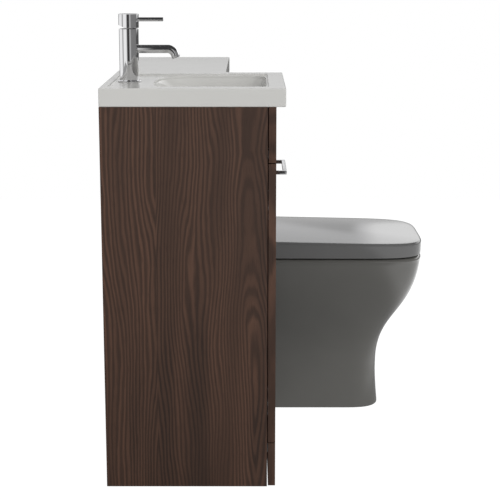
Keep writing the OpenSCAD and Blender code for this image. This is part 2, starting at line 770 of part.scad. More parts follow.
shank_dia = 28;
shank_l = 58;
hose_pitch = 13;
hose_bore = 10;
hose_depth = 39;
backnut_dia = 44;
backnut_t = 12;
module tap_shank() steel() place() at_tap(0) {
    difference() {
        translate([0, 0, deck_z - shank_l]) cylinder(d = shank_dia, h = shank_l + tap_ring_t);
        for (s = [-1, 1]) translate([s * hose_pitch / 2, 0, deck_z - shank_l - cut])
            cylinder(d = hose_bore, h = hose_depth + cut);
    }
    difference() {
        translate([0, 0, cabinet_h - backnut_t]) cylinder(d = backnut_dia, h = backnut_t);
        translate([0, 0, cabinet_h - backnut_t - cut])
            cylinder(d = shank_dia, h = backnut_t + 2 * cut);
    }
}

// The cartridge turns with the handle; the cap tilts on it
cartridge_wall = 4.5;
cartridge_dia = tap_dia - 2 * cartridge_wall;
cartridge_seat = 6;
cartridge_neck_dia = 20;
cartridge_neck_h = 7;
cartridge_stem_dia = 9;
cartridge_stem_drop = 14;
module tap_cartridge() steel() place() at_tap(0) {
    translate([0, 0, body_top - cartridge_seat + touch_gap])
        cylinder(d = cartridge_dia - 2 * touch_gap, h = cartridge_seat);
    translate([0, 0, body_top]) cylinder(d = cartridge_neck_dia, h = cartridge_neck_h);
    translate([0, 0, body_top])
        cylinder(d = cartridge_stem_dia, h = cap_h - cartridge_stem_drop);
}

cap_over = 0.75;
cap_dia = tap_dia + 2 * cap_over;
cap_wall = 4.5;
cap_roof = 8;
cap_edge = 0.8;
cap_cut_start = 4;
module tap_cap() chrome() place() at_tap(0) difference() {
    rotate_extrude() polygon([[0, cap_z], [cap_dia / 2 - tap_chamfer, cap_z],
                              [cap_dia / 2, cap_z + tap_chamfer],
                              [cap_dia / 2, tap_top - cap_edge],
                              [cap_dia / 2 - cap_edge, tap_top], [0, tap_top]]);
    translate([0, 0, cap_z - cut]) cylinder(d = cap_dia - 2 * cap_wall, h = cap_h - cap_roof + cut);
    // The back of the cap is cut away so that the lever can lift
    translate([0, cap_cut_start, cap_z]) rotate([lever_lift, 0, 0])
        translate([-cap_dia, -cut, -cap_dia]) cube([2 * cap_dia, 2 * cap_dia, cap_dia]);
    translate([0, 0, lever_z]) rotate([90, 0, 0]) cylinder(d = lever_dia, h = cap_dia);
}

lever_drop = 12;
lever_edge = 0.7;
lever_z = tap_top - lever_drop;
module tap_lever() chrome() place() at_tap(lever_z)
    rotate([90, 0, 0]) rotate_extrude() polygon([
        [0, cap_dia / 2 - cap_wall], [lever_dia / 2, cap_dia / 2 - cap_wall],
        [lever_dia / 2, lever_reach - lever_edge], [lever_dia / 2 - lever_edge, lever_reach],
        [0, lever_reach]]);

// ---- Toilet pan, seat and lid ----

fall = tan(rim_fall);
foot_front = pan_front - foot_back;
// Height of a pan ring at a depth: the rings tip more and more towards the rim
function ring_z(z, d) = z * (1 - fall * (d - wc_front) / pan_h);
// Controls of the S-shaped profile from the rim down to the waist: height, share of the rim
s_heights = [pan_h, 0.612 * pan_h, 0.607 * pan_h, 0.26 * pan_h];
s_shares = [1, 0.886, 0, 0];
s_steps = 12;
pan_sides = 36;

// One ring: share 1 has the rim's plan, share 0 the foot's
function pan_ring(z, share, inset = 0, sides = pan_sides) =
    let (hw = mix(foot_w, pan_w, share) / 2 - inset,
         front = mix(foot_front, pan_front, share) - inset,
         cd = front - mix(foot_reach, rim_reach, share),
         n = mix(foot_square, rim_square, share))
    [for (p = d_outline(wc_x, wc_front, cd, hw, front, n, 0, sides))
        [p[0], p[1], ring_z(z, -p[1])]];

// The foot flares a little towards the floor, below a share of the pan's height
flare_part = 0.22;
foot_edge = 1;
function foot_ring(part) =
    pan_ring(part * pan_h, 0, -foot_flare * pow(1 - part / flare_part, 1.5));
function s_ring(t, inset = 0, sides = pan_sides) =
    pan_ring(bezier(s_heights, t), bezier(s_shares, t), inset, sides);

pan_edge = 8;
module pan_skin() loft(concat(
    [pan_ring(0, 0, foot_edge - foot_flare)],
    [for (part = [0.004, 0.04, 0.09, 0.15]) foot_ring(part)],
    [for (i = [s_steps:-1:1]) s_ring(i / s_steps)],
    [for (a = [0, 30, 60, 90])
        pan_ring(pan_h - pan_edge * (1 - sin(a)), 1, pan_edge * (1 - cos(a)))]));

bowl_half = pan_w / 2 - rim_w;
rim_front_w = 46;
pan_bowl_front = pan_l - rim_front_w;
pan_bowl_back = 150;
pan_bowl_cd = wc_front + (pan_bowl_front + pan_bowl_back) / 2;
pan_bowl_hl = (pan_bowl_front - pan_bowl_back) / 2;
// Fractions of the bowl's depth, share of its opening and shift towards the wall
pan_bowl_steps = [[0, 1, 0], [0.06, 1.03, 0], [0.15, 1.03, 2], [0.31, 0.93, 10], [0.47, 0.76, 24],
                  [0.61, 0.58, 40], [0.73, 0.42, 54], [0.84, 0.30, 64], [1, 0.24, 68]];
sump_floor = 78;
pan_bowl_depth = pan_h - sump_floor;
pan_bowl_sides = 32;
function pan_bowl_ring(step, wall) =
    let (z = pan_h - pan_bowl_depth * step[0] - wall, hl = pan_bowl_hl * step[1] + wall)
    [for (p = oval(wc_x, pan_bowl_cd - step[2], bowl_half * step[1] + wall, hl, hl, 2.3, 2.6, 0,
                   pan_bowl_sides))
        [p[0], p[1], ring_z(z, -p[1])]];
// The bowl's inside, or with a wall its outside, up to a little over the rim
module pan_bowl(wall) loft(concat(
    [for (i = [len(pan_bowl_steps) - 1:-1:0]) pan_bowl_ring(pan_bowl_steps[i], wall)],
    [[for (p = pan_bowl_ring(pan_bowl_steps[0], wall)) [p[0], p[1], p[2] + wall + 5 * cut]]]));

// The cast body is hollow: open to the floor and to the panel behind
pan_wall = 14;
pan_rim_t = 24;
cavity_sides = 16;
module pan_cavity() loft(concat(
    [pan_ring(-cut, 0, pan_wall, cavity_sides)],
    [for (i = [s_steps:-3:3]) s_ring(i / s_steps, pan_wall, cavity_sides)],
    [pan_ring(pan_h - pan_rim_t, 1, pan_wall, cavity_sides)]));

// The trap passage: from the sump under the bowl, over the weir, to the spigot
passage_dia = 70;
passage_sides = 16;
sump_back = 70;
sump_z = 62;
rise_d = 170;
rise_z = 66;
weir_d = 108;
spigot_in = 60;
passage = [[pan_bowl_cd - sump_back, sump_z], [wc_front + rise_d, rise_z],
           [wc_front + weir_d, soil_z], [wc_front + spigot_in, soil_z]];
module leg(a, b, dia) translate([wc_x, -a[0], a[1]]) rotate([atan2(b[0] - a[0], b[1] - a[1]), 0, 0])
    cylinder(d = dia, h = norm(b - a), $fn = passage_sides);
module passage_form(dia) {
    for (i = [0:2]) {
        translate([wc_x, -passage[i][0], passage[i][1]]) sphere(d = dia, $fn = passage_sides);
        leg(passage[i], passage[i + 1], dia);
    }
}

spigot_start = 22;
spigot_wall = 10;
spigot_bore = spigot_dia - 2 * spigot_wall;
recess_d = 62;
spigot_root = 40;
cone_wall = 8;
inlet_dia = flush_pipe_dia + 2 * cone_wall;
inlet_d = 34;
module pan() grey_ceramic() place() difference() {
    union() {
        difference() {
            pan_skin();
            translate([0, eps, 0]) pan_cavity();
        }
        intersection() {
            pan_bowl(pan_wall);
            pan_skin();
        }
        passage_form(passage_dia + 2 * pan_wall);
        bar_d(wc_x, soil_z, spigot_dia, wc_front + spigot_start, wc_front + recess_d + spigot_root);
        bar_d(wc_x, inlet_z, inlet_dia + pan_wall, wc_front, pan_bowl_cd - pan_bowl_hl);
    }
    pan_bowl(0);
    passage_form(passage_dia);
    bar_d(wc_x, soil_z, spigot_bore, wc_front + spigot_start - cut,
          wc_front + recess_d + spigot_root);
    bar_d(wc_x, inlet_z, inlet_dia, wc_front - cut, wc_front + inlet_d);
    bar_d(wc_x, inlet_z, flush_pipe_dia, wc_front, pan_bowl_cd - pan_bowl_hl / 2);
}

// Seat and lid are drawn flat on the rim's plane and tipped with it
module on_rim() translate([wc_x, -wc_front, pan_h]) rotate([rim_fall, 0, 0]) children();

lid_hw = pan_w / 2 + lid_side_over;
lid_cd = lid_l - rim_reach;
lid_sides = 44;
// One ring of the lid, falling towards the front by a slope
function lid_ring(inset, z, slope = 0) =
    [for (p = d_outline(0, lid_back, lid_cd, lid_hw - inset, lid_l - inset, rim_square, z, lid_sides))
        [p[0], p[1], p[2] - slope * (-p[1] - lid_back)]];
lid_draft = 1;
lid_draft_h = 10;
module lid_form(inset, z0, top) loft(concat(
    [lid_ring(inset + lid_draft, z0)],
    [lid_ring(inset + 0.3 * lid_draft, z0 + lid_draft_h)],
    [for (a = [0, 30, 60, 85]) let (r = lid_edge)
        lid_ring(inset + r * (1 - cos(a)), top - r + r * sin(a), lid_drop)],
    [for (s = [0.2, 0.5, 0.8]) lid_ring(mix(inset + lid_edge, lid_hw, s),
                                       top + lid_dome * (1 - pow(1 - s, 2)), lid_drop)]));
lid_lug = 10;
lug_root = 0.5;
post_t = 13;
lug_dia = 18;
hinge_play = 0.05;
hinge_bore_dia = hinge_pin_dia + 2 * hinge_play;
hinge_bore_l = 60;
// The two bores of a hinge, through the lugs of the lid or seat
module hinge_bores() for (s = [-1, 1])
    translate([s * hinge_span / 2 - hinge_bore_l / 2, -hinge_back, hinge_rise])
        rotate([0, 90, 0]) cylinder(d = hinge_bore_dia, h = hinge_bore_l);
module lid() color([0.45, 0.45, 0.45]) place() on_rim() difference() {
    union() {
        difference() {
            lid_form(0, lid_gap, lid_top);
            // Hollow, and open at the back, where the hinge posts stand
            translate([0, cut, 0]) lid_form(lid_wall, lid_gap - 2 * cut, lid_top - lid_wall);
            translate([lid_wall + lid_draft - lid_hw, -lid_back - lid_wall, -cut])
                cube([2 * (lid_hw - lid_wall - lid_draft), 2 * lid_wall, lid_top - lid_wall + cut]);
        }
        for (s = [-1, 1]) lid_lug_form(s);
        for (b = buffer_spots) at_buffer(b, pad_z(b))
            cylinder(d = buffer_dia + 2 * pad_edge, h = lid_wall);
    }
    hinge_bores();
}
module lid_lug_form(s) {
    x = s * (hinge_span / 2 + post_t / 2 + touch_gap + lid_lug / 2);
    translate([x - lid_lug / 2, -hinge_back, hinge_rise]) rotate([0, 90, 0])
        cylinder(d = lug_dia, h = lid_lug);
    translate([x - lid_lug / 2, -hinge_back - lug_dia / 2, hinge_rise])
        cube([lid_lug, lug_dia, lid_top + lug_root - hinge_rise]);
}

seat_clear = 4;
seat_hw = lid_hw - lid_wall - seat_clear;
seat_l = lid_l - lid_wall - seat_clear;
seat_setback = 16;
seat_back = hinge_back + seat_setback;
seat_side_w = 64;
seat_nose_w = 76;
seat_open_hw = seat_hw - seat_side_w;
seat_open_front = seat_l - seat_nose_w;
seat_open_back = 140;
seat_round = 6;
seat_edge = 1;
seat_dip = 3;
seat_sides = 40;
function seat_ring(inset, z) =
    d_outline(0, seat_back, lid_cd, seat_hw - inset, seat_l - inset, rim_square, z, lid_sides);
// The seat's opening widens over its upper edge
module seat_opening() {
    cd = (seat_open_front + seat_open_back) / 2;
    hl = (seat_open_front - seat_open_back) / 2;
    loft([for (step = [[-cut, 0], [seat_t / 2, 0], [seat_t - seat_dip, 2 * seat_dip / 3],
                       [seat_t + cut, 2 * seat_dip + cut]])
        oval(0, cd, seat_open_hw + step[1], hl + step[1], hl + step[1], 2.3, 2.6,
             buffer_h + step[0], seat_sides)]);
}
module seat() color([0.47, 0.47, 0.47]) place() on_rim() difference() {
    union() {
        difference() {
            loft(concat([seat_ring(seat_edge, buffer_h)], [seat_ring(0, buffer_h + seat_edge)],
                        [for (a = [0, 45, 85])
                            seat_ring(seat_round * (1 - cos(a)),
                                      buffer_h + seat_t - seat_round * (1 - sin(a)))]));
            seat_opening();
        }
        for (s = [-1, 1]) seat_lug_form(s);
    }
    hinge_bores();
}
seat_lug = 10;
seat_lug_h = 12;
module seat_lug_form(s) {
    x = s * (hinge_span / 2 - post_t / 2 - touch_gap - seat_lug / 2);
    translate([x - seat_lug / 2, -hinge_back, hinge_rise]) rotate([0, 90, 0])
        cylinder(d = lug_dia, h = seat_lug);
    translate([x - seat_lug / 2, -seat_back - 2 * cut, hinge_rise - seat_lug_h / 2])
        cube([seat_lug, seat_setback + 2 * cut, seat_lug_h]);
}

buffer_dia = 16;
buffer_inset = 30;
pad_edge = 2;
pad_t = 0.5;
// Side and share of the lid's length of each buffer
buffer_spots = [[-1, 0.34], [1, 0.34], [-1, 0.74], [1, 0.74]];
// Underside of the pad that carries a buffer inside the lid
function pad_z(b) = lid_top - lid_wall - pad_t - lid_drop * (lid_l * b[1] - lid_back);
module at_buffer(b, z) translate([b[0] * (seat_hw - buffer_inset), -lid_l * b[1], z]) children();
module seat_buffers() color([0.85, 0.85, 0.85]) place() on_rim()
    for (b = buffer_spots) at_buffer(b, touch_gap)
        cylinder(d = buffer_dia, h = buffer_h - touch_gap);
lid_buffer_z = buffer_h + seat_t + touch_gap;
module lid_buffers() color([0.85, 0.85, 0.85]) place() on_rim()
    for (b = buffer_spots) at_buffer(b, lid_buffer_z)
        cylinder(d = buffer_dia, h = pad_z(b) - lid_buffer_z);

post_base_dia = 34;
post_base_t = 3.5;
post_head_dia = 16;
module seat_hinge_posts() chrome() place() on_rim() for (s = [-1, 1]) {
    translate([s * hinge_span / 2, -hinge_back, 0]) {
        cylinder(d = post_base_dia, h = post_base_t);
        cylinder(d = post_t, h = hinge_rise);
        translate([-post_t / 2, 0, hinge_rise]) rotate([0, 90, 0])
            cylinder(d = post_head_dia, h = post_t);
        translate([-post_t / 2 - seat_lug, 0, hinge_rise]) rotate([0, 90, 0])
            cylinder(d = hinge_pin_dia, h = post_t + 2 * seat_lug);
    }
}

socket_wall = 7;
socket_dia = soil_dia + 2 * socket_wall;
socket_start = 20;
socket_stop = 4;
socket_end = 8;
connector_wall = 3.5;
seal_start = 26;
seal_end = 10;
module pan_connector() color([0.85, 0.85, 0.83]) place() difference() {
    union() {
        bar_d(wc_x, soil_z, soil_dia, 0, wc_front);
        bar_d(wc_x, soil_z, socket_dia, wc_front - socket_start, wc_front + recess_d - socket_end);
    }
    bar_d(wc_x, soil_z, soil_dia - 2 * connector_wall, -cut, wc_front + socket_stop + cut);
    bar_d(wc_x, soil_z, soil_dia, wc_front + socket_stop, wc_front + recess_d);
}
module pan_connector_seal() color([0.12, 0.12, 0.12]) place() difference() {
    bar_d(wc_x, soil_z, soil_dia, wc_front + seal_start, wc_front + recess_d - seal_end);
    bar_d(wc_x, soil_z, spigot_dia, wc_front + seal_start - cut, wc_front + recess_d);
}

// ---- Cistern and flush ----

tank_r = 18;
module tank_plan(inset)
    translate([wc_x, -outlet_d]) {
        w = tank_w - 2 * inset;
        d = tank_d - 2 * inset;
        r = tank_r - inset;
        square([w - 2 * r, d], center = true);
        square([w, d - 2 * r], center = true);
        for (x = [-1, 1], y = [-1, 1])
            translate([x * (w / 2 - r), y * (d / 2 - r)]) circle(r = r);
    }
fill_x = wc_x - tank_w / 2;
fill_drop = 40;
fill_z = tank_z + tank_h - fill_drop;
fill_shank_dia = 20.9;
module cistern_tank() color([0.88, 0.88, 0.86]) place() difference() {
    translate([0, 0, tank_z]) linear_extrude(tank_h) tank_plan(0);
    translate([0, 0, tank_z + tank_wall]) linear_extrude(tank_h) tank_plan(tank_wall);
    translate([wc_x, -outlet_d, tank_z - cut]) cylinder(d = tail_dia, h = tank_wall + 2 * cut);
    bar_x(outlet_d, fill_z, fill_shank_dia, fill_x - cut, fill_x + tank_wall + cut);
}

cover_lap = 10;
cover_t = 3;
cover_edge = 1.5;
module cistern_cover() color([0.88, 0.88, 0.86]) place() difference() {
    translate([0, 0, tank_z + tank_h - cover_lap])
        linear_extrude(cover_lap + cover_t) tank_plan(-cover_edge);
    translate([0, 0, tank_z + tank_h - cover_lap - cut]) linear_extrude(cover_lap + cut) tank_plan(0);
}

valve_dia = 62;
valve_base_t = 8;
valve_post = 6;
valve_post_h = 150;
valve_head_h = 34;
valve_head_lap = 2;
valve_head_bore = 32;
valve_tail = 34;
tail_nut_t = 14;
tail_nut_wall = 9;
module flush_valve() white_plastic() place() translate([wc_x, -outlet_d, tank_z]) {
    head_z = tank_wall + valve_post_h - valve_head_lap;
    difference() {
        union() {
            translate([0, 0, tank_wall]) cylinder(d = valve_dia, h = valve_base_t);
            translate([0, 0, -board_t - valve_tail])
                cylinder(d = tail_dia, h = board_t + valve_tail + tank_wall + cut);
            for (a = [45:90:315]) rotate([0, 0, a])
                translate([valve_dia / 2 - valve_post, -valve_post / 2, tank_wall])
                    cube([valve_post, valve_post, valve_post_h]);
            translate([0, 0, head_z]) cylinder(d = valve_dia, h = valve_head_h);
        }
        translate([0, 0, -board_t - valve_tail - cut])
            cylinder(d = flush_pipe_dia, h = board_t + valve_tail + tank_wall + valve_base_t + 2 * cut);
        translate([0, 0, head_z - cut]) cylinder(d = valve_head_bore, h = valve_head_h + 2 * cut);
    }
    translate([0, 0, -board_t - tail_nut_t]) difference() {
        cylinder(d = tail_dia + 2 * tail_nut_wall, h = tail_nut_t, $fn = 8);
        translate([0, 0, -cut]) cylinder(d = tail_dia, h = tail_nut_t + 2 * cut);
    }
}
lift_seal_dia = 46;
lift_seal_t = 5;
lift_dia = 28;
lift_bore = 22;
lift_h = 215;
module flush_valve_lift() color([0.25, 0.45, 0.65]) place()
    translate([wc_x, -outlet_d, tank_z + tank_wall + valve_base_t + touch_gap]) difference() {
        union() {
            cylinder(d = lift_seal_dia, h = lift_seal_t);
            cylinder(d = lift_dia, h = lift_h);
        }
        translate([0, 0, -cut]) cylinder(d = lift_bore, h = lift_h + 2 * cut);
    }

fill_stem_in = 46;
fill_tail = 28;
fill_bore = 11;
fill_bore_in = 30;
fill_nut_dia = 32;
fill_nut_t = 8;
fill_stem_dia = 24;
fill_stem_drop = 26;
fill_stem_x = fill_x + fill_stem_in;
module fill_valve() white_plastic() place() {
    difference() {
        bar_x(outlet_d, fill_z, fill_shank_dia, fill_x - fill_tail, fill_stem_x);
        bar_x(outlet_d, fill_z, fill_bore, fill_x - fill_tail - cut, fill_x + fill_bore_in);
    }
    difference() {
        bar_x(outlet_d, fill_z, fill_nut_dia, fill_x - fill_nut_t, fill_x);
        bar_x(outlet_d, fill_z, fill_shank_dia, fill_x - fill_nut_t - cut, fill_x + cut);
    }
    translate([fill_stem_x, -outlet_d, tank_z + tank_wall])
        cylinder(d = fill_stem_dia, h = tank_h - fill_stem_drop);
}
float_dia = 58;
float_h = 62;
float_drop = 14;
float_clear = 0.5;
module fill_float() color([0.30, 0.30, 0.32]) place()
    translate([fill_stem_x, -outlet_d, fill_z - float_drop - float_h]) difference() {
        cylinder(d = float_dia, h = float_h);
        translate([0, 0, -cut]) cylinder(d = fill_stem_dia + 2 * float_clear, h = float_h + 2 * cut);
    }

// The flush pipe drops from the cistern and turns into the pan's inlet
elbow_r = 46;
pipe_drop = 4;
pipe_reach = 26;
pipe_wall = 2;
pipe_top = tank_z - board_t - pipe_drop;
pipe_end = wc_front + pipe_reach;
module flush_tube(dia) {
    translate([wc_x, -outlet_d, inlet_z + elbow_r]) cylinder(d = dia, h = pipe_top - inlet_z - elbow_r);
    translate([wc_x, -outlet_d - elbow_r, inlet_z + elbow_r]) rotate([0, 90, 0])
        rotate_extrude(angle = 90) translate([elbow_r, 0]) circle(d = dia);
    bar_d(wc_x, inlet_z, dia, outlet_d + elbow_r - eps, pipe_end);
}
module flush_pipe() white_plastic() place() difference() {
    flush_tube(flush_pipe_dia);
    flush_tube(flush_pipe_dia - 2 * pipe_wall);
}

cone_start = 4;
cone_clear = 0.1;
module flush_cone() color([0.12, 0.12, 0.12]) place() difference() {
    bar_d(wc_x, inlet_z, inlet_dia - 2 * cone_clear, wc_front + cone_start, wc_front + inlet_d);
    bar_d(wc_x, inlet_z, flush_pipe_dia, wc_front + cone_start - cut, pipe_end);
    bar_d(wc_x, inlet_z, flush_pipe_dia - 2 * pipe_wall, wc_front, wc_front + inlet_d + cut);
}

bezel_t = 4;
button_t = 7;
button_proud = 2;
bezel_back = 14;
bezel_floor = 4;
bezel_nut_edge = 2;
bezel_nut_t = 9;
module flush_bezel() chrome() place() {
    difference() {
        union() {
            bar_d(wc_x, button_z, bezel_dia, wc_front, wc_front + bezel_t);
            bar_d(wc_x, button_z, bezel_tube_dia, wc_d - bezel_back, wc_front + eps);
        }
        bar_d(wc_x, button_z, bezel_bore, wc_d - bezel_back + bezel_floor,
              wc_front + bezel_t + cut);
    }
    difference() {
        bar_d(wc_x, button_z, bezel_dia + 2 * bezel_nut_edge, wc_d + front_gap - bezel_nut_t,
              wc_d + front_gap);
        bar_d(wc_x, button_z, bezel_tube_dia, wc_d + front_gap - bezel_nut_t - cut,
              wc_d + front_gap + cut);
    }
}

button_split = 7;
module button(x0, x1) intersection() {
    bar_d(wc_x, button_z, bezel_bore - 2 * touch_gap, wc_front + bezel_t + button_proud - button_t,
          wc_front + bezel_t + button_proud);
    board(wc_x + x0, wc_x + x1, wc_d, wc_front + bezel_bore, button_z - bezel_bore,
          button_z + bezel_bore);
}
module flush_button_full() chrome() place() button(-bezel_bore, button_split - touch_gap / 2);
module flush_button_half() chrome() place() button(button_split + touch_gap / 2, bezel_bore);

vanity_side_left();
vanity_side_right();
vanity_base();
vanity_back_panel();
vanity_front_rail();
vanity_wall_rail();
vanity_shelf();
shelf_pins();
vanity_fascia();
vanity_plinth();
vanity_door();
door_handle();
handle_screws();
hinge_cups();
hinge_arms();
panel_brackets();
wc_side_left();
wc_side_right();
wc_front_rail();
wc_wall_rail();
cistern_shelf();
wc_fascia();
wc_front_panel();
wc_plinth();
basin_worktop();
overflow_ring();
tap_base_ring();
tap_body();
tap_spout();
tap_aerator();
tap_shank();
tap_cartridge();
tap_cap();
tap_lever();
waste_body();
waste_nut();
waste_plug();
trap_body();
trap_cup();
trap_outlet();
trap_flange();
pan();
seat();
seat_buffers();
lid();
lid_buffers();
seat_hinge_posts();
pan_connector();
pan_connector_seal();
cistern_tank();
cistern_cover();
flush_valve();
flush_valve_lift();
fill_valve();
fill_float();
flush_pipe();
flush_cone();
flush_bezel();
flush_button_full();
flush_button_half();
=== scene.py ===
"""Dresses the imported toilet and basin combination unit: its forms, its finishes and a plain studio.

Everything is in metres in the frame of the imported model: +X to the right of someone facing the
unit, +Y to the wall, +Z up, with the origin on the floor under the middle of the unit.
"""

import functools
import json
import math

import bmesh
import bpy
from bpy.types import Operator, Panel, PropertyGroup
from mathutils import Matrix, Vector

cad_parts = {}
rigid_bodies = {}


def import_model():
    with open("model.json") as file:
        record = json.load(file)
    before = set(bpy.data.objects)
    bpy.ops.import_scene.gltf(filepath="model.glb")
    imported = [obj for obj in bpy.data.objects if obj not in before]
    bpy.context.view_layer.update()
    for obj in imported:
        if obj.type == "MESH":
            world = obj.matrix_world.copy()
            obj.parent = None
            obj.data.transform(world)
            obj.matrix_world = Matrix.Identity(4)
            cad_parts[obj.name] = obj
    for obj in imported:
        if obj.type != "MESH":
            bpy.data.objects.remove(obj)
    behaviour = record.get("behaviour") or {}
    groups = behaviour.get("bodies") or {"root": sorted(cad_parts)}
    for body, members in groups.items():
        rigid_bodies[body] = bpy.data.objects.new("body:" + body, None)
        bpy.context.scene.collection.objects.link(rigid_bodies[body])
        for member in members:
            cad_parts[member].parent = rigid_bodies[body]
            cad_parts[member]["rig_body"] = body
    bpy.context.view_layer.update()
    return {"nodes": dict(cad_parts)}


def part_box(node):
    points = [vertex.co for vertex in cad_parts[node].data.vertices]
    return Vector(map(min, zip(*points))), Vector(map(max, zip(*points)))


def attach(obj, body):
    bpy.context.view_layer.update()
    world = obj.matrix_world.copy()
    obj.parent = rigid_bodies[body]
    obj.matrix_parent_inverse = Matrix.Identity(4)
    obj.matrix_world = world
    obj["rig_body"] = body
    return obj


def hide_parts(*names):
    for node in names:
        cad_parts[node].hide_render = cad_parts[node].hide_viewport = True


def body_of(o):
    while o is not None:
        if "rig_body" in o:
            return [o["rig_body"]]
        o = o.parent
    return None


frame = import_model()

bl_info = {
    "name": "Toilet and basin unit",
    "version": (1, 0, 0),
    "blender": (4, 5, 0),
    "location": "View3D > Sidebar > Bathroom",
    "description": "Models and finishes a toilet and basin combination unit over its packed frame",
    "category": "Object",
}

MM = 0.001


# ---- Places, read from the frame ----

X, Y, Z = range(3)


class Extent:
    """The box of a CAD node: its corners, middle and size."""

    def __init__(self, node):
        self.lo, self.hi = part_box(node)
        self.centre = (self.lo + self.hi) / 2
        self.size = self.hi - self.lo


side_box = Extent("vanity_side_left")
fascia_box = Extent("vanity_fascia")
top_box = Extent("basin_worktop")
wc_panel_box = Extent("wc_front_panel")
pan_box = Extent("pan")
ring_box = Extent("tap_base_ring")
body_box = Extent("tap_body")
cap_box = Extent("tap_cap")
lever_box = Extent("tap_lever")
spout_box = Extent("tap_spout")
handle_box = Extent("door_handle")
flange_box = Extent("waste_body")
plug_box = Extent("waste_plug")
overflow_box = Extent("overflow_ring")

LEFT = top_box.lo.x
INNER_X = Extent("vanity_side_right").hi.x
WALL = top_box.hi.y
PANEL = pan_box.hi.y
TAP = ring_box.centre
BASIN_X = TAP.x
PAN_X = pan_box.centre.x
RIM_Z = pan_box.hi.z


# ---- Values that a user would change ----


def colour(name, description, value):
    """A colour property with linear red, green and blue."""
    return bpy.props.FloatVectorProperty(
        name=name, description=description, subtype="COLOR", size=3, min=0, max=1, default=value
    )


def length(name, description, value):
    """A length property in metres."""
    return bpy.props.FloatProperty(
        name=name, description=description, unit="LENGTH", min=0, default=value, precision=4
    )


class BATH_PG_finish(PropertyGroup):
    """The colours of the unit's finishes."""

    walnut: colour("Walnut", "Middle tone of the walnut boards", (0.069, 0.0375, 0.0262))
    walnut_dark: colour("Dark walnut", "Tone of the dark rings", (0.0370, 0.0225, 0.0172))
    walnut_streak: colour("Walnut streak", "Tone of the pale rings", (0.122, 0.0630, 0.0420))
    stone: colour("Worktop", "Moulded worktop and basin", (0.655, 0.65, 0.63))
    glaze: colour("Pan glaze", "Grey glaze of the toilet pan", (0.110, 0.108, 0.101))
    seat_grey: colour("Seat", "Grey plastic of the seat and lid", (0.125, 0.125, 0.125))
    chrome: colour("Chrome", "Tint of the polished chrome", (0.80, 0.80, 0.81))
    steel: colour("Steel", "Zinc-plated steel fittings", (0.50, 0.50, 0.51))
    white: colour("White plastic", "Cistern, trap and pipes", (0.78, 0.78, 0.76))


class BATH_PG_sizes(PropertyGroup):
    """Sizes of the details that the frame doesn't give."""

    board_edge: length("Board edge", "Rounding of the boards' edges", 0.7 * MM)
    worktop_edge: length("Worktop edge", "Rounding of the worktop's edges", 2.2 * MM)
    worktop_t: length("Worktop thickness", "Height of the worktop's edge", 39 * MM)
    bowl_depth: length("Bowl depth", "Depth of the basin", 116 * MM)
    bowl_lip: length("Bowl lip", "Rounding of the basin's edge", 10 * MM)
    deck_sink: length("Deck recess", "How far the tap deck lies under the rim", 4 * MM)
    chrome_edge: length("Chrome edge", "Rounding of the tap's edges", 0.6 * MM)
    rim_width: length("Pan rim", "Width of the pan's flat rim", 50 * MM)
    lid_edge: length("Lid edge", "Rounding of the lid's upper edge", 6 * MM)


# ---- Shader maths ----


def arithmetic(operation):
    """A method that puts a socket and something else through a maths node."""
    return lambda channel, other: channel.maths(operation, other)


class Channel:
    """A shader socket that ordinary arithmetic can be written with."""

    __add__ = __radd__ = arithmetic("ADD")
    __sub__ = arithmetic("SUBTRACT")
    __mul__ = __rmul__ = arithmetic("MULTIPLY")
    __truediv__ = arithmetic("DIVIDE")
    __pow__ = arithmetic("POWER")

    def __init__(self, paint, socket):
        self.paint = paint
        self.socket = socket

    def maths(self, operation, other=0.0):
        values = {0: self, 1: other}
        return self.paint.node("ShaderNodeMath", {"operation": operation}, values)

    def __rsub__(self, other):
        return self * -1 + other

    def step(self, low, high):
        """0 below low, 1 above high and a smooth rise between them."""
        return self.paint.node(
            "ShaderNodeMapRange",
            {"interpolation_type": "SMOOTHSTEP"},
            {"Value": self, "From Min": low, "From Max": high},
        )


def shade(tone, share):
    """A lighter or darker tone of a colour."""
    return tuple(min(1, c * share) for c in tone[:3])


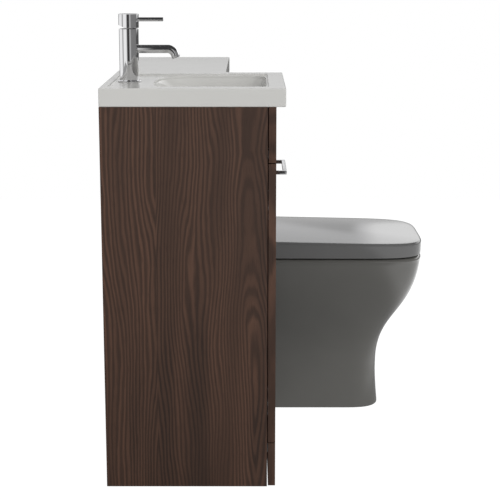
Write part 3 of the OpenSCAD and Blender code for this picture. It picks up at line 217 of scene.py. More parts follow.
class Paint:
    """The node tree of one finish, and the one way to add a node to it."""

    def __init__(self, owner):
        owner.use_nodes = True
        self.owner = owner
        self.tree = owner.node_tree
        self.tree.nodes.clear()

    def node(self, kind, settings=(), values=(), output=0):
        """Adds a node: its settings first, then a value or a link for each named socket."""
        made = self.tree.nodes.new(kind)
        for key, value in dict(settings).items():
            setattr(made, key, value)
        for key, value in dict(values).items():
            if isinstance(value, Channel):
                self.tree.links.new(value.socket, made.inputs[key])
            else:
                made.inputs[key].default_value = value
        return Channel(self, made.outputs[output]) if made.outputs else None

    def greys(self, factor, stops):
        """A run of grey tones, with the place and the tone of each stop."""
        made = self.node("ShaderNodeValToRGB", values={0: factor})
        elements = made.socket.node.color_ramp.elements
        while len(elements) < len(stops):
            elements.new(1.0)
        for element, (position, tone) in zip(elements, stops):
            element.position = position
            element.color = (tone, tone, tone, 1)
        return made

    def rays(self, *kinds):
        """1 for the rays of each kind, and 0 for others."""
        return [self.node("ShaderNodeLightPath", output=f"Is {kind} Ray") for kind in kinds]

    def where(self):
        """The place on an object, in its own coordinates."""
        return self.node("ShaderNodeTexCoord", output="Object")

    def split(self, vector):
        """A vector apart as x, y and z."""
        return [self.node("ShaderNodeSeparateXYZ", values={0: vector}, output=i) for i in range(3)]

    def point(self, x, y, z):
        return self.node("ShaderNodeCombineXYZ", values={0: x, 1: y, 2: z})

    def noise(self, point, scale, detail=2.0, roughness=0.5):
        """Cloudy noise between 0 and 1."""
        return self.node(
            "ShaderNodeTexNoise",
            values={"Vector": point, "Scale": scale, "Detail": detail, "Roughness": roughness},
        )

    def blend(self, factor, first, second):
        """One colour going over into another."""
        tones = [c if isinstance(c, Channel) else (*c, 1) for c in (first, second)]
        return self.node(
            "ShaderNodeMix", {"data_type": "RGBA"}, {0: factor, 6: tones[0], 7: tones[1]}, output=2
        )

    def between(self, factor, tone, low, high=1):
        """One share of a tone going over into another share."""
        return self.blend(factor, shade(tone, low), shade(tone, high))

    def bump(self, height, strength, distance):
        return self.node(
            "ShaderNodeBump", values={"Strength": strength, "Distance": distance, "Height": height}
        )

    def finish(self, **inputs):
        """The material's surface. Each word is an input's name, with _ for a space."""
        values = {key.replace("_", " "): value for key, value in inputs.items()}
        surface = self.node("ShaderNodeBsdfPrincipled", values=values)
        self.node("ShaderNodeOutputMaterial", values={"Surface": surface})
        return self.owner


def new_paint(name):
    return Paint(bpy.data.materials.new(name))


# ---- Finishes ----


def walnut(name, tones, along, across, shift):
    """Walnut veneer with its grain along one axis and its rings spread over another."""
    paint = new_paint(name)
    place = paint.split(paint.where())
    u = place[across] + shift
    v = place[along] + shift * 3
    w = place[3 - along - across]

    def grain(wide, long, deep, start=0, **look):
        """Noise drawn out along the boards, in patches to the metre each way."""
        return paint.noise(paint.point(u * wide, v * long, w * deep + start), 1.0, **look)

    # Rings lie round a heart line that folds over, so they stand upright but for a few arches
    fold = u.maths("PINGPONG", 0.21)
    climb = (v + fold * 0.3).maths("PINGPONG", 0.62)
    heart = (fold * fold + climb * climb * 0.0062 + 0.00002) ** 0.5
    swell = grain(4.2, 1.1, 2, shift)
    ripple = grain(34, 5.5, 6)
    phase = heart * 122 + swell * 17 + ripple * 1.9
    rings = (phase * math.tau).maths("SINE") * 0.5 + 0.5
    fine = (phase * (math.tau * 1.7) + 1.1).maths("SINE") * 0.5 + 0.5
    fade = grain(16, 1.6, 3, 4)
    zone = grain(11, 0.9, 3, 9, roughness=0.55)
    fibre = grain(420, 14, 300, detail=3.0, roughness=0.6)
    pores = grain(700, 30, 500, 3, detail=1.0).step(0.60, 0.72)
    pale = (rings.step(0.35, 0.95) * 0.75 + fine * 0.35) * fade.step(0.24, 0.60)
    dark = (1 - rings).step(0.40, 1.0) * 0.50 + zone.step(0.47, 0.66) * 0.62
    tone = paint.blend(pale * (fibre * 0.6 + 0.55), tones.walnut, tones.walnut_streak)
    tone = paint.blend(dark * (fibre * 0.5 + 0.6), tone, tones.walnut_dark)
    tone = paint.blend(pores * 0.35, tone, shade(tones.walnut_dark, 0.7))
    height = pores * -0.6 + fibre * 0.3
    return paint.finish(
        Base_Color=tone,
        Roughness=0.46 + fibre * 0.10 + pores * 0.08,
        Specular_IOR_Level=0.22,
        Normal=paint.bump(height, 0.22, 0.0004),
    )


def moulded_stone(tone):
    """Gloss moulded resin stone of the worktop and basin."""
    paint = new_paint("moulded_stone")
    place = paint.where()
    cloud = paint.noise(place, 5.0, 3.0)
    speck = paint.noise(place, 420.0, 1.0)
    base = paint.between(cloud.step(0.25, 0.75), tone, 0.975, 1.02)
    return paint.finish(
        Base_Color=paint.blend(speck.step(0.62, 0.8) * 0.05, base, shade(tone, 0.8)),
        Roughness=0.13 + cloud * 0.05,
        Specular_IOR_Level=0.35,
        Normal=paint.bump(paint.noise(place, 34.0), 0.03, 0.001),
    )


def fired_glaze(tone):
    """Grey glaze over the pan's ceramic: deep gloss with a faint orange-peel surface."""
    paint = new_paint("fired_glaze")
    place = paint.where()
    cloud = paint.noise(place, 7.0)
    return paint.finish(
        Base_Color=paint.between(cloud.step(0.2, 0.8), tone, 0.96, 1.05),
        Roughness=0.16 + cloud * 0.06,
        Coat_Weight=0.4,
        Coat_Roughness=0.05,
        Normal=paint.bump(paint.noise(place, 85.0), 0.035, 0.001),
    )


def moulded_plastic(name, tone, roughness):
    """Injection-moulded plastic: even colour, faint flow clouds and a fine grain."""
    paint = new_paint(name)
    place = paint.where()
    flow = paint.noise(place, 9.0)
    fine = paint.noise(place, 260.0, 1.0)
    return paint.finish(
        Base_Color=paint.between(flow.step(0.2, 0.8), tone, 0.965, 1.03),
        Roughness=roughness + flow * 0.05 + fine * 0.03,
        Normal=paint.bump(fine, 0.03, 0.0004),
    )


def polished_chrome(tone):
    """Bright chrome plating with the slightest haze."""
    paint = new_paint("polished_chrome")
    haze = paint.noise(paint.where(), 60.0, 3.0)
    return paint.finish(
        Base_Color=paint.between(haze, tone, 0.97),
        Metallic=1.0,
        Roughness=0.035 + haze.step(0.35, 0.8) * 0.05,
    )


def satin_chrome(tone):
    """The door handle's chrome: rougher than the tap's, with its tint painted darker to stand for the
    dim reflections on the bar.
    """
    paint = new_paint("satin_chrome")
    haze = paint.noise(paint.where(), 90.0, 3.0)
    return paint.finish(
        Base_Color=paint.between(haze, tone, 0.92), Metallic=1.0, Roughness=0.10 + haze * 0.08
    )


def plated_steel(tone):
    """Zinc-plated steel with a drawn grain."""
    paint = new_paint("plated_steel")
    place = paint.where()
    x, y, z = paint.split(place)
    drawn = paint.noise(paint.point(x * 500, y * 40, z * 500), 1.0)
    cloud = paint.noise(place, 40.0, 3.0)
    return paint.finish(
        Base_Color=paint.between(cloud, tone, 0.86),
        Metallic=1.0,
        Roughness=0.28 + drawn * 0.14,
        Normal=paint.bump(drawn, 0.05, 0.0002),
    )


def soft_rubber(name, tone):
    """Matte rubber with a fine moulded grain."""
    paint = new_paint(name)
    fine = paint.noise(paint.where(), 380.0)
    return paint.finish(
        Base_Color=paint.between(fine, tone, 0.85),
        Roughness=0.62 + fine * 0.16,
        Normal=paint.bump(fine, 0.12, 0.0003),
    )


@functools.cache
def finishes():
    """Every finish of the unit by name, made once."""
    tones = bpy.context.scene.bath_finish
    return {
        "walnut_side": walnut("walnut_side", tones, along=Z, across=Y, shift=0.37),
        "walnut_front": walnut("walnut_front", tones, along=Z, across=X, shift=1.91),
        "walnut_flat": walnut("walnut_flat", tones, along=X, across=Y, shift=2.73),
        "worktop": moulded_stone(tones.stone),
        "grey_ceramic": fired_glaze(tones.glaze),
        "grey_plastic": moulded_plastic("seat_plastic", tones.seat_grey, 0.06),
        "white_plastic": moulded_plastic("white_plastic", tones.white, 0.26),
        "blue_plastic": moulded_plastic("blue_plastic", (0.05, 0.16, 0.36), 0.30),
        "black_plastic": moulded_plastic("black_plastic", (0.03, 0.03, 0.03), 0.42),
        "chrome": polished_chrome(tones.chrome),
        # The handle gets the tap's chrome tint painted darker, as painted shade for the dim
        # reflections on the bar
        "satin_chrome": satin_chrome(shade(tones.chrome, 0.62)),
        "steel": plated_steel(tones.steel),
        "buffer_rubber": soft_rubber("buffer_rubber", (0.50, 0.50, 0.49)),
        "black_rubber": soft_rubber("black_rubber", (0.022, 0.022, 0.022)),
    }


# ---- Modelling ----


def only(obj):
    """Selects one object and makes it active."""
    bpy.ops.object.select_all(action="DESELECT")
    obj.select_set(True)
    bpy.context.view_layer.objects.active = obj


def added(name):
    """The object that an operator has just added, named."""
    bpy.context.object.name = name
    return bpy.context.object


def modify(obj, kind, **settings):
    """Adds a modifier to an object and applies it."""
    only(obj)
    made = obj.modifiers.new(kind.title(), kind)
    for key, value in settings.items():
        setattr(made, key, value)
    bpy.ops.object.modifier_apply(modifier=made.name)
    return obj


def settle_place(obj):
    """Puts an object's place, turn and scale into its mesh."""
    only(obj)
    bpy.ops.object.transform_apply(location=True, rotation=True, scale=True)
    return obj


def select(action="SELECT"):
    """In edit mode, selects everything or nothing."""
    bpy.ops.mesh.select_all(action=action)


def extrude(move):
    """In edit mode, draws out what is selected."""
    bpy.ops.mesh.extrude_region_move(TRANSFORM_OT_translate={"value": move})


def in_edit(obj, mode, work):
    """Runs work in edit mode with everything deselected first."""
    only(obj)
    bpy.ops.object.mode_set(mode="EDIT")
    bpy.ops.mesh.select_mode(type=mode)
    select("DESELECT")
    work()
    bpy.ops.object.mode_set(mode="OBJECT")
    return obj


def pick(obj, kind, test):
    """Selects the faces, edges or vertices of the mesh in edit mode that pass a test."""
    mesh = bmesh.from_edit_mesh(obj.data)
    for element in getattr(mesh, kind):
        if test(element):
            element.select_set(True)
    mesh.select_flush_mode()
    bmesh.update_edit_mesh(obj.data)


def weld():
    """In edit mode, merges doubles and turns the faces outwards."""
    select()
    bpy.ops.mesh.remove_doubles(threshold=1e-6)
    bpy.ops.mesh.normals_make_consistent(inside=False)


def tidy_mesh(obj, angle=30.0):
    """Welds a mesh and smooths the shading under an angle."""
    in_edit(obj, "VERT", weld)
    bpy.ops.object.shade_smooth_by_angle(angle=math.radians(angle))
    return obj


def bevelled(obj, width, segments=3, angle=35.0):
    limit = {"limit_method": "ANGLE", "angle_limit": math.radians(angle)}
    return modify(obj, "BEVEL", width=width, segments=segments, **limit)


def cut(obj, tool, operation="DIFFERENCE"):
    """Takes a tool's form away from an object, or joins it on, and clears the tool away."""
    modify(obj, "BOOLEAN", object=tool, operation=operation, solver="EXACT")
    bpy.data.objects.remove(tool, do_unlink=True)
    return obj


def cuboid(name, lo, hi):
    """A cube primitive at the size and place of a box."""
    lo, hi = Vector(lo), Vector(hi)
    bpy.ops.mesh.primitive_cube_add(size=1, location=(lo + hi) / 2)
    obj = added(name)
    obj.scale = hi - lo
    return settle_place(obj)


def rod(name, axis, centre, start, end, radius, sides=96):
    """A cylinder primitive along an axis through a place, from one coordinate to another."""
    ends = Vector(centre), Vector(centre)
    ends[0][axis], ends[1][axis] = start, end
    run = ends[1] - ends[0]
    bpy.ops.mesh.primitive_cylinder_add(
        vertices=sides, radius=radius, depth=run.length, location=(ends[0] + ends[1]) / 2
    )
    obj = added(name)
    obj.rotation_mode = "QUATERNION"
    obj.rotation_quaternion = run.to_track_quat("Z", "Y")
    return settle_place(obj)


def sheet_of_rings(name, rings, closed=True):
    """A grid primitive wrapped over rings of points, its seam merged.

    The first and last ring are closed by a face each, or else joined to each other.
    """
    rows = rings if closed else rings + [rings[0]]
    bpy.ops.mesh.primitive_grid_add(x_subdivisions=len(rings[0]), y_subdivisions=len(rows) - 1)
    obj = added(name)
    obj.data.vertices.foreach_set("co", [c for ring in rows for p in ring + [ring[0]] for c in p])

    def work():
        weld()
        if closed:
            select("DESELECT")
            bpy.ops.mesh.select_non_manifold()
            bpy.ops.mesh.fill_holes(sides=0)
            weld()

    return in_edit(obj, "VERT", work)


def stand_for(obj, node, finish):
    """Gives a piece its finish, and lets it ride with and stand for a CAD node."""
    obj.name = node + "_form"
    obj.data.materials.clear()
    obj.data.materials.append(finishes()[finish])
    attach(obj, body_of(frame["nodes"][node])[0])
    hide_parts(node)


# ---- Outlines ----

RING_POINTS = 144


def power(value, exponent):
    return math.copysign(abs(value) ** exponent, value)


def mix(a, b, share):
    return a + (b - a) * share


def sweep(last, steps):
    """Even steps from 0 to the last value."""
    return [last * i / steps for i in range(steps + 1)]


def rounding(radius, angles):
    """How far in and how far down a rounded edge lies at each angle up from its side."""
    turns = [math.radians(angle) for angle in angles]
    return [(radius * (1 - math.cos(a)), radius * (1 - math.sin(a))) for a in turns]


def bezier(p, t):
    return sum(k * (1 - t) ** (3 - i) * t**i * p[i] for i, k in enumerate((1, 3, 3, 1)))


def spline(p, q, r, s, t):
    """A number between q and r, on a smooth curve through all four."""
    bend = 2 * p - 5 * q + 4 * r - s
    return 0.5 * (2 * q + (r - p) * t + bend * t * t + (3 * q - p - 3 * r + s) * t**3)


def glide(rows, steps):
    """A smooth run through rows of numbers, with steps between each pair."""
    made = []
    for i in range(len(rows) - 1):
        near = [rows[min(max(i + k, 0), len(rows) - 1)] for k in (-1, 0, 1, 2)]
        made += [[spline(*column, t) for column in zip(*near)] for t in sweep(1, steps)[:-1]]
    return made + [list(rows[-1])]


def oval(half_width, middle, front, back, square_front, square_back, count=RING_POINTS):
    """A closed oval: how far right and how far forward each point is."""
    made = []
    for i in range(count):
        a = math.tau * i / count
        c, s = math.cos(a), math.sin(a)
        reach, n = (front, square_front) if s > 0 else (back, square_back)
        made.append((half_width * power(c, 2 / n), middle + reach * power(s, 2 / n)))
    return made


# ---- Walnut boards and fittings ----


def refined(node, edge=0.0):
    """A copy of a CAD node with merged flat faces and, where asked, rounded edges."""
    obj = bpy.data.objects.new(node + "_copy", frame["nodes"][node].data.copy())
    bpy.context.scene.collection.objects.link(obj)
    obj.data.attributes.active = None

    def work():
        select()
        bpy.ops.mesh.remove_doubles(threshold=1e-6)
        bpy.ops.mesh.dissolve_limited(angle_limit=math.radians(0.5))

    in_edit(obj, "VERT", work)
    if edge:
        bevelled(obj, edge, 2)
    bpy.ops.object.shade_smooth_by_angle(angle=math.radians(32))
    return obj


BOARDS = {
    "walnut_side": ["vanity_side_left", "vanity_side_right", "wc_side_left", "wc_side_right"],
    "walnut_front": [
        "vanity_fascia", "vanity_plinth", "vanity_door", "vanity_back_panel",
        "wc_fascia", "wc_front_panel", "wc_plinth",
    ],
    "walnut_flat": [
        "vanity_base", "vanity_front_rail", "vanity_wall_rail", "vanity_shelf",
        "wc_front_rail", "wc_wall_rail", "cistern_shelf",
    ],
}

FITTINGS = {
    "steel": [
        "shelf_pins", "handle_screws", "hinge_cups", "hinge_arms",
        "panel_brackets", "tap_shank", "tap_cartridge", "waste_nut",
    ],
    "white_plastic": [
        "tap_aerator", "trap_body", "trap_cup", "trap_outlet", "trap_flange", "pan_connector",
        "cistern_tank", "cistern_cover", "flush_valve", "fill_valve", "flush_pipe",
    ],
    "blue_plastic": ["flush_valve_lift"],
    "black_plastic": ["fill_float"],
    "black_rubber": ["pan_connector_seal", "flush_cone"],
    "buffer_rubber": ["seat_buffers", "lid_buffers"],
}

# Rounding of the edges of the chrome pieces that are used as they are in the CAD
CHROME_EDGES = {
    "seat_hinge_posts": 0.4 * MM,
    "flush_bezel": 0.8 * MM,
    "flush_button_full": 0.9 * MM,
    "flush_button_half": 0.9 * MM,
}

# Slots of the finishes that aren't named by their slot
SLOTS = {**dict.fromkeys(BOARDS, "walnut_board"), "satin_chrome": "chrome"}


def dress(groups, edge=0.0):
    """Refines and finishes the CAD nodes of each group."""
    for finish, nodes in groups.items():
        for node in nodes:
            stand_for(refined(node, edge), node, finish)


class BATH_OT_boards(Operator):
    """Rounds the edges of the cabinets' boards and veneers them."""

    bl_idname = "bath.boards"
    bl_label = "Walnut boards"

    def execute(self, context):
        dress(BOARDS, context.scene.bath_sizes.board_edge)
        return {"FINISHED"}


class BATH_OT_fittings(Operator):
    """Smooths and finishes the fittings inside and behind the unit."""

    bl_idname = "bath.fittings"
    bl_label = "Inner fittings"

    def execute(self, context):
        dress(FITTINGS)
        return {"FINISHED"}


class BATH_OT_chrome(Operator):
    """Rounds and plates the flush buttons, their bezel and the seat's hinge posts."""

    bl_idname = "bath.chrome"
    bl_label = "Buttons and hinge posts"

    def execute(self, context):
        for node, edge in CHROME_EDGES.items():
            stand_for(refined(node, edge), node, "chrome")
        return {"FINISHED"}


# ---- Worktop and basin ----

BOWL_POINTS = 160
BOWL_SIDE_RIM = 40 * MM
BOWL_FRONT_RIM = 36 * MM
BOWL_BACK = 108 * MM
BOWL_FRONT = WALL - top_box.lo.y - BOWL_FRONT_RIM
BOWL_HALF_WIDTH = BASIN_X - LEFT - BOWL_SIDE_RIM
BOWL_WALL = 9 * MM
WORKTOP_WALL = 12 * MM
FILLET = 22 * MM
WASTE_SHIFT = 10 * MM
DECK_LEDGE = 15 * MM
DECK_MARGIN = 0.7 * MM
TAP_HOLE = 17.5 * MM
WASTE_HOLE = 22 * MM
OVERFLOW_HOLE = 11 * MM
# The bowl's back slopes away this far at the top, down to this share of the depth
BOWL_SLOPE = 11 * MM
BOWL_SLOPE_DEPTH = 0.35
# Fractions of the bowl's depth with the share of the opening left at each
BOWL_STEPS = [
    (0.0, 1.0), (0.08, 0.97), (0.28, 0.92), (0.60, 0.87),
    (0.82, 0.79), (0.93, 0.68), (0.98, 0.52), (1.0, 0.30),
]


def bowl_ring(down, share, grow, drop=0.0, lean=None):
    """One ring of the bowl at a fraction of its depth, with its back slope at another."""
    ease = down * down
    half_width = BOWL_HALF_WIDTH * share + grow
    middle = (BOWL_BACK + BOWL_FRONT) / 2 - WASTE_SHIFT * ease
    reach = (BOWL_FRONT - BOWL_BACK) / 2 * share + grow
    slope = max(0, 1 - (down if lean is None else lean) / BOWL_SLOPE_DEPTH) ** 2
    squares = mix(7.0, 2.4, ease), mix(3.4, 2.4, ease)
    plan = oval(half_width, middle, reach, reach + BOWL_SLOPE * slope, *squares, BOWL_POINTS)
    z = top_box.hi.z - bpy.context.scene.bath_sizes.bowl_depth * down - drop
    return [(BASIN_X + x, WALL - d, z) for x, d in plan]


def bowl_form(name, grow, top, lip):
    """The bowl as a solid: a tool for its inside, or with a wall its outside."""
    steps = glide(BOWL_STEPS, 5)
    rings = [bowl_ring(down, share, grow, grow) for down, share in reversed(steps)]
    if lip:
        # The upper rings open out into a rounded lip
        rings = [r for r in rings if r[0][2] < top_box.hi.z - lip - 0.1 * MM]
        start = lip / bpy.context.scene.bath_sizes.bowl_depth
        under = min(share for down, share in steps if down <= start)
        for into, down in reversed(rounding(1, sweep(90, 12))):
            rise = 1 - down
            rings.append(bowl_ring(0, mix(1, under, rise), 0, lip * into, start * rise))
    rings.append([(x, y, top) for x, y, _ in rings[-1]])
    return sheet_of_rings(name, rings)


def worktop_outline(inset):
    """Corners of the L-shaped plan, with the inner corner's fillet as an arc."""
    lo, hi = top_box.lo, top_box.hi
    wc_front = wc_panel_box.lo.y - (fascia_box.lo.y - top_box.lo.y)
    left, front = lo.x + inset, lo.y + inset
    corners = [(left, hi.y - inset), (left, front), (INNER_X - inset, front)]
    x, y = INNER_X + FILLET - inset, wc_front - FILLET + inset
    for angle in sweep(90, 16):
        a = math.radians(180 - angle)
        corners.append((x + FILLET * math.cos(a), y + FILLET * math.sin(a)))
    corners += [(hi.x - inset, wc_front + inset), (hi.x - inset, hi.y - inset)]
    return corners


def prism(name, outline, low, high):
    """A filled circle primitive, drawn out to an outline and extruded upwards."""
    bpy.ops.mesh.primitive_circle_add(vertices=len(outline), fill_type="NGON")
    obj = added(name)
    obj.data.vertices.foreach_set("co", [c for x, y in outline for c in (x, y, low)])

    def work():
        select()
        extrude((0, 0, high - low))
        weld()

    return in_edit(obj, "FACE", work)


class BATH_OT_worktop(Operator):
    """Models the L-shaped worktop with its basin, tap deck and holes."""

    bl_idname = "bath.worktop"
    bl_label = "Worktop and basin"

    def execute(self, context):
        sizes = context.scene.bath_sizes
        top = top_box.hi.z
        low = top - sizes.worktop_t
        board = side_box.size.x
        obj = prism("worktop", worktop_outline(0), low, top)
        bevelled(obj, sizes.worktop_edge, 4)
        hollow = prism("hollow", worktop_outline(board), low - MM, top - WORKTOP_WALL)
        corner = (INNER_X - board, top_box.lo.y, low - 2 * MM)
        cut(hollow, cuboid("web", corner, (INNER_X + board, WALL, top)))
        cut(hollow, rod("boss", Z, TAP, low - 2 * MM, top, ring_box.size.x / 2))
        cut(obj, hollow)
        cut(obj, bowl_form("bowl_outside", BOWL_WALL, top - sizes.deck_sink - MM, 0), "UNION")
        deck_side = BOWL_SIDE_RIM - DECK_MARGIN
        deck_front = top_box.lo.y + BOWL_FRONT_RIM - DECK_MARGIN
        corner = (LEFT + deck_side, deck_front, top - sizes.deck_sink)
        deck = cuboid("deck", corner, (INNER_X - deck_side, WALL - DECK_LEDGE, top + 5 * MM))
        bevelled(deck, 3 * MM, 5)
        cut(obj, deck)
        cut(obj, bowl_form("bowl_inside", 0, top + 5 * MM, sizes.bowl_lip))
        cut(obj, rod("tap_hole", Z, TAP, low - MM, top + MM, TAP_HOLE))
        ends = flange_box.lo.z, flange_box.hi.z + 5 * MM
        cut(obj, rod("waste_hole", Z, flange_box.centre, *ends, WASTE_HOLE))
        ends = overflow_box.hi.y + 9 * MM, overflow_box.lo.y - 20 * MM
        cut(obj, rod("overflow_hole", Y, overflow_box.centre, *ends, OVERFLOW_HOLE))
        tidy_mesh(obj, 28)
        modify(obj, "WEIGHTED_NORMAL", keep_sharp=True)
        stand_for(obj, "basin_worktop", "worktop")
        return {"FINISHED"}


# ---- Basin waste ----

FLANGE_RADIUS = 32 * MM
FLANGE_T = 2.5 * MM
TAIL_RADIUS = 21 * MM
WASTE_BORE = 17.5 * MM
PLUG_RADIUS = 30 * MM
PLUG_T = 5 * MM
STEM_RADIUS = 4.5 * MM
OVERFLOW_BORE = 8 * MM


class BATH_OT_waste(Operator):
    """Models the chrome waste flange, its pop-up plug and the overflow ring."""

    bl_idname = "bath.waste"
    bl_label = "Basin waste"

    def execute(self, context):
        waste, low, high = flange_box.centre, flange_box.lo.z, flange_box.hi.z
        body = rod("waste", Z, waste, high - FLANGE_T, high, FLANGE_RADIUS)
        bevelled(body, MM)
        cut(body, rod("tail", Z, waste, low, high - FLANGE_T / 2, TAIL_RADIUS), "UNION")
        cut(body, rod("bore", Z, waste, low - MM, high + MM, WASTE_BORE))
        stand_for(tidy_mesh(body), "waste_body", "chrome")

        top = plug_box.hi.z
        plug = rod("plug", Z, waste, top - PLUG_T, top, PLUG_RADIUS)

        def crown():
            pick(plug, "faces", lambda f: f.normal.z > 0.9)
            bpy.ops.mesh.inset(thickness=3 * MM)

        in_edit(plug, "FACE", crown)
        bevelled(plug, 1.6 * MM, 4)
        cut(plug, rod("stem", Z, waste, plug_box.lo.z, top - MM, STEM_RADIUS), "UNION")
        stand_for(tidy_mesh(plug), "waste_plug", "chrome")

        spill, near, far = overflow_box.centre, overflow_box.lo.y, overflow_box.hi.y
        ring = rod("overflow", Y, spill, far, near, overflow_box.size.x / 2)
        cut(ring, rod("overflow_bore", Y, spill, far + MM, near - MM, OVERFLOW_BORE))
        bevelled(ring, 0.8 * MM)
        stand_for(tidy_mesh(ring), "overflow_ring", "chrome")
        return {"FINISHED"}


# ---- Tap ----

SPOUT_RADIUS = 9.3 * MM
SPOUT_WALL = 1.5 * MM
SPOUT_BEND = 16.7 * MM
SPOUT_ANGLE = math.radians(70)
SPOUT_TAIL = 8.6 * MM
SPOUT_STRAIGHT = 85 * MM
RING_BORE = 16.5 * MM
SEAT_BORE = 17 * MM
SEAT_DEPTH = 6 * MM
CAP_WALL = 4.5 * MM
CAP_HOLLOW = 22.5 * MM
GROOVE = 0.8 * MM
CAP_CUT_ANGLE = math.radians(20)


class BATH_OT_tap(Operator):
    """Models the mixer tap: base ring, body, spout, cap and lever."""

    bl_idname = "bath.tap"
    bl_label = "Mixer tap"

    def execute(self, context):
        edge = context.scene.bath_sizes.chrome_edge
        low, high = ring_box.lo.z, ring_box.hi.z
        ring = rod("ring", Z, TAP, low, high, ring_box.size.x / 2, 128)
        bevelled(ring, edge)
        cut(ring, rod("bore", Z, TAP, low - MM, high + MM, RING_BORE))
        stand_for(tidy_mesh(ring), "tap_base_ring", "chrome")

        high = body_box.hi.z
        body = rod("body", Z, TAP, body_box.lo.z, high, body_box.size.x / 2, 128)
        self.chamfer(body, high)
        cut(body, rod("seat", Z, TAP, high - SEAT_DEPTH, high + MM, SEAT_BORE))
        bevelled(body, 0.3 * MM, 2)
        stand_for(tidy_mesh(body, 25), "tap_body", "chrome")
        stand_for(self.spout(), "tap_spout", "chrome")
        stand_for(self.cap(edge), "tap_cap", "chrome")

        near, far = lever_box.lo.y, lever_box.hi.y
        lever = rod("lever", Y, lever_box.centre, far, near, lever_box.size.x / 2)
        bevelled(lever, edge, 4)
        stand_for(tidy_mesh(lever), "tap_lever", "chrome")
        return {"FINISHED"}

    def chamfer(self, obj, z):
        """Slopes the edge round one end of a turned piece."""

        def work():
            pick(obj, "edges", lambda e: all(abs(v.co.z - z) < 1e-5 for v in e.verts))
            bpy.ops.mesh.bevel(offset=GROOVE, segments=1, affect="EDGES")

        in_edit(obj, "EDGE", work)

    def spout(self):
        """A circle drawn straight out, spun round the bend and drawn on down."""
        start = Vector((TAP.x, TAP.y, spout_box.hi.z - SPOUT_RADIUS))
        bpy.ops.mesh.primitive_circle_add(
            vertices=64, radius=SPOUT_RADIUS, location=start, rotation=(math.pi / 2, 0, 0)
        )
        obj = settle_place(added("spout"))
        pivot = start - Vector((0, SPOUT_STRAIGHT, SPOUT_BEND))
        down = Vector((0, -math.cos(SPOUT_ANGLE), -math.sin(SPOUT_ANGLE))) * SPOUT_TAIL

        def work():
            select()
            extrude((0, -SPOUT_STRAIGHT, 0))
            bpy.ops.mesh.spin(steps=24, angle=-SPOUT_ANGLE, center=pivot, axis=(1, 0, 0))
            extrude(down)
            weld()

        in_edit(obj, "EDGE", work)
        modify(obj, "SOLIDIFY", thickness=SPOUT_WALL, offset=-1)
        bevelled(obj, 0.3 * MM, 2, 50)
        return tidy_mesh(obj)

    def cap(self, edge):
        """The lever's cap, hollow, with its rear cut away so that it can tilt."""
        low, side = cap_box.lo.z, cap_box.size.x
        obj = rod("cap", Z, TAP, low, cap_box.hi.z, side / 2, 128)
        self.chamfer(obj, low)
        bevelled(obj, edge, 3, 60)
        cut(obj, rod("hollow", Z, TAP, low - MM, low + CAP_HOLLOW, side / 2 - CAP_WALL))
        corner = (TAP.x - side, TAP.y + 3 * MM, low - side)
        slope = cuboid("slope", corner, (TAP.x + side, TAP.y + 2 * side, low))
        turn = Matrix.Rotation(CAP_CUT_ANGLE, 4, "X")
        pivot = Matrix.Translation((TAP.x, TAP.y + 4 * MM, low))
        slope.matrix_world = pivot @ turn @ pivot.inverted()
        settle_place(slope)
        cut(obj, slope)
        radius = lever_box.size.x / 2
        cut(obj, rod("socket", Y, lever_box.centre, TAP.y, TAP.y - side, radius, 64))
        return tidy_mesh(obj, 25)


# ---- Door handle ----


class BATH_OT_handle(Operator):
    """Models the square chrome bar handle with its two legs."""

    bl_idname = "bath.handle"
    bl_label = "Door handle"

    def execute(self, context):
        lo, hi = handle_box.lo, handle_box.hi
        bar = handle_box.size.z
        left, right = lo.x + bar, hi.x - bar
        obj = cuboid("handle", lo, (hi.x, lo.y + bar, hi.z))

        def is_leg(face):
            return face.normal.y > 0.9 and not left < face.calc_center_median().x < right

        def work():
            for x, side in ((left, 1), (right, -1)):
                select()
                bpy.ops.mesh.bisect(plane_co=(x, 0, 0), plane_no=(side, 0, 0))
                select("DESELECT")
            pick(obj, "faces", is_leg)
            extrude((0, hi.y - lo.y - bar, 0))

        in_edit(obj, "FACE", work)
        bevelled(obj, 0.7 * MM)
        stand_for(tidy_mesh(obj), "door_handle", "satin_chrome")
        return {"FINISHED"}


# ---- Toilet pan ----

RIM_FALL = math.radians(0.15)
FOOT_WIDTH = 196 * MM
FOOT_BACK = 106.5 * MM
FOOT_REACH = 98 * MM
FOOT_SQUARE = 3.3
FOOT_FLARE = 6 * MM
RIM_REACH = 239 * MM
RIM_SQUARE = 4.8
# Exponent of an oval's end that is as good as straight
STRAIGHT = 60
# Exponents of the front and the back of the openings in the pan and the seat
OPENING = (2.3, 2.6)
RIM_FRONT = 46 * MM
PAN_EDGE = 8 * MM
PAN_LIP = 6 * MM
PAN_WALL = 14 * MM
BOWL_REAR = 150 * MM
# Shares of the pan's height at the bends of its S-shaped profile, and of the rim's plan there
PROFILE_HEIGHTS = (1.0, 0.612, 0.607, 0.26)
PROFILE_SHARES = (1.0, 0.886, 0.0, 0.0)
# Shares of the pan's height at the rings of its foot's flare, the last where it ends
FLARE_STEPS = (0.0015, 0.004, 0.015, 0.03, 0.05, 0.07, 0.10, 0.13, 0.16, 0.19, 0.22)
# Share of the bowl's depth, share of its opening and shift towards the wall
PAN_BOWL_STEPS = [
    (0.0, 1.0, 0.0), (0.06, 1.03, 0.0), (0.15, 1.03, 2 * MM), (0.31, 0.93, 10 * MM),
    (0.47, 0.76, 24 * MM), (0.61, 0.58, 40 * MM), (0.73, 0.42, 54 * MM), (0.84, 0.30, 64 * MM),
    (1.0, 0.24, 68 * MM),
]
SUMP_Z = 78 * MM


def tipped(plan, z):
    """A ring of the pan, in the frame and tipped forward with the rim by its height."""
    fall = math.tan(RIM_FALL) * z / RIM_Z
    return [(PAN_X + x, PANEL - d, z - fall * d) for x, d in plan]


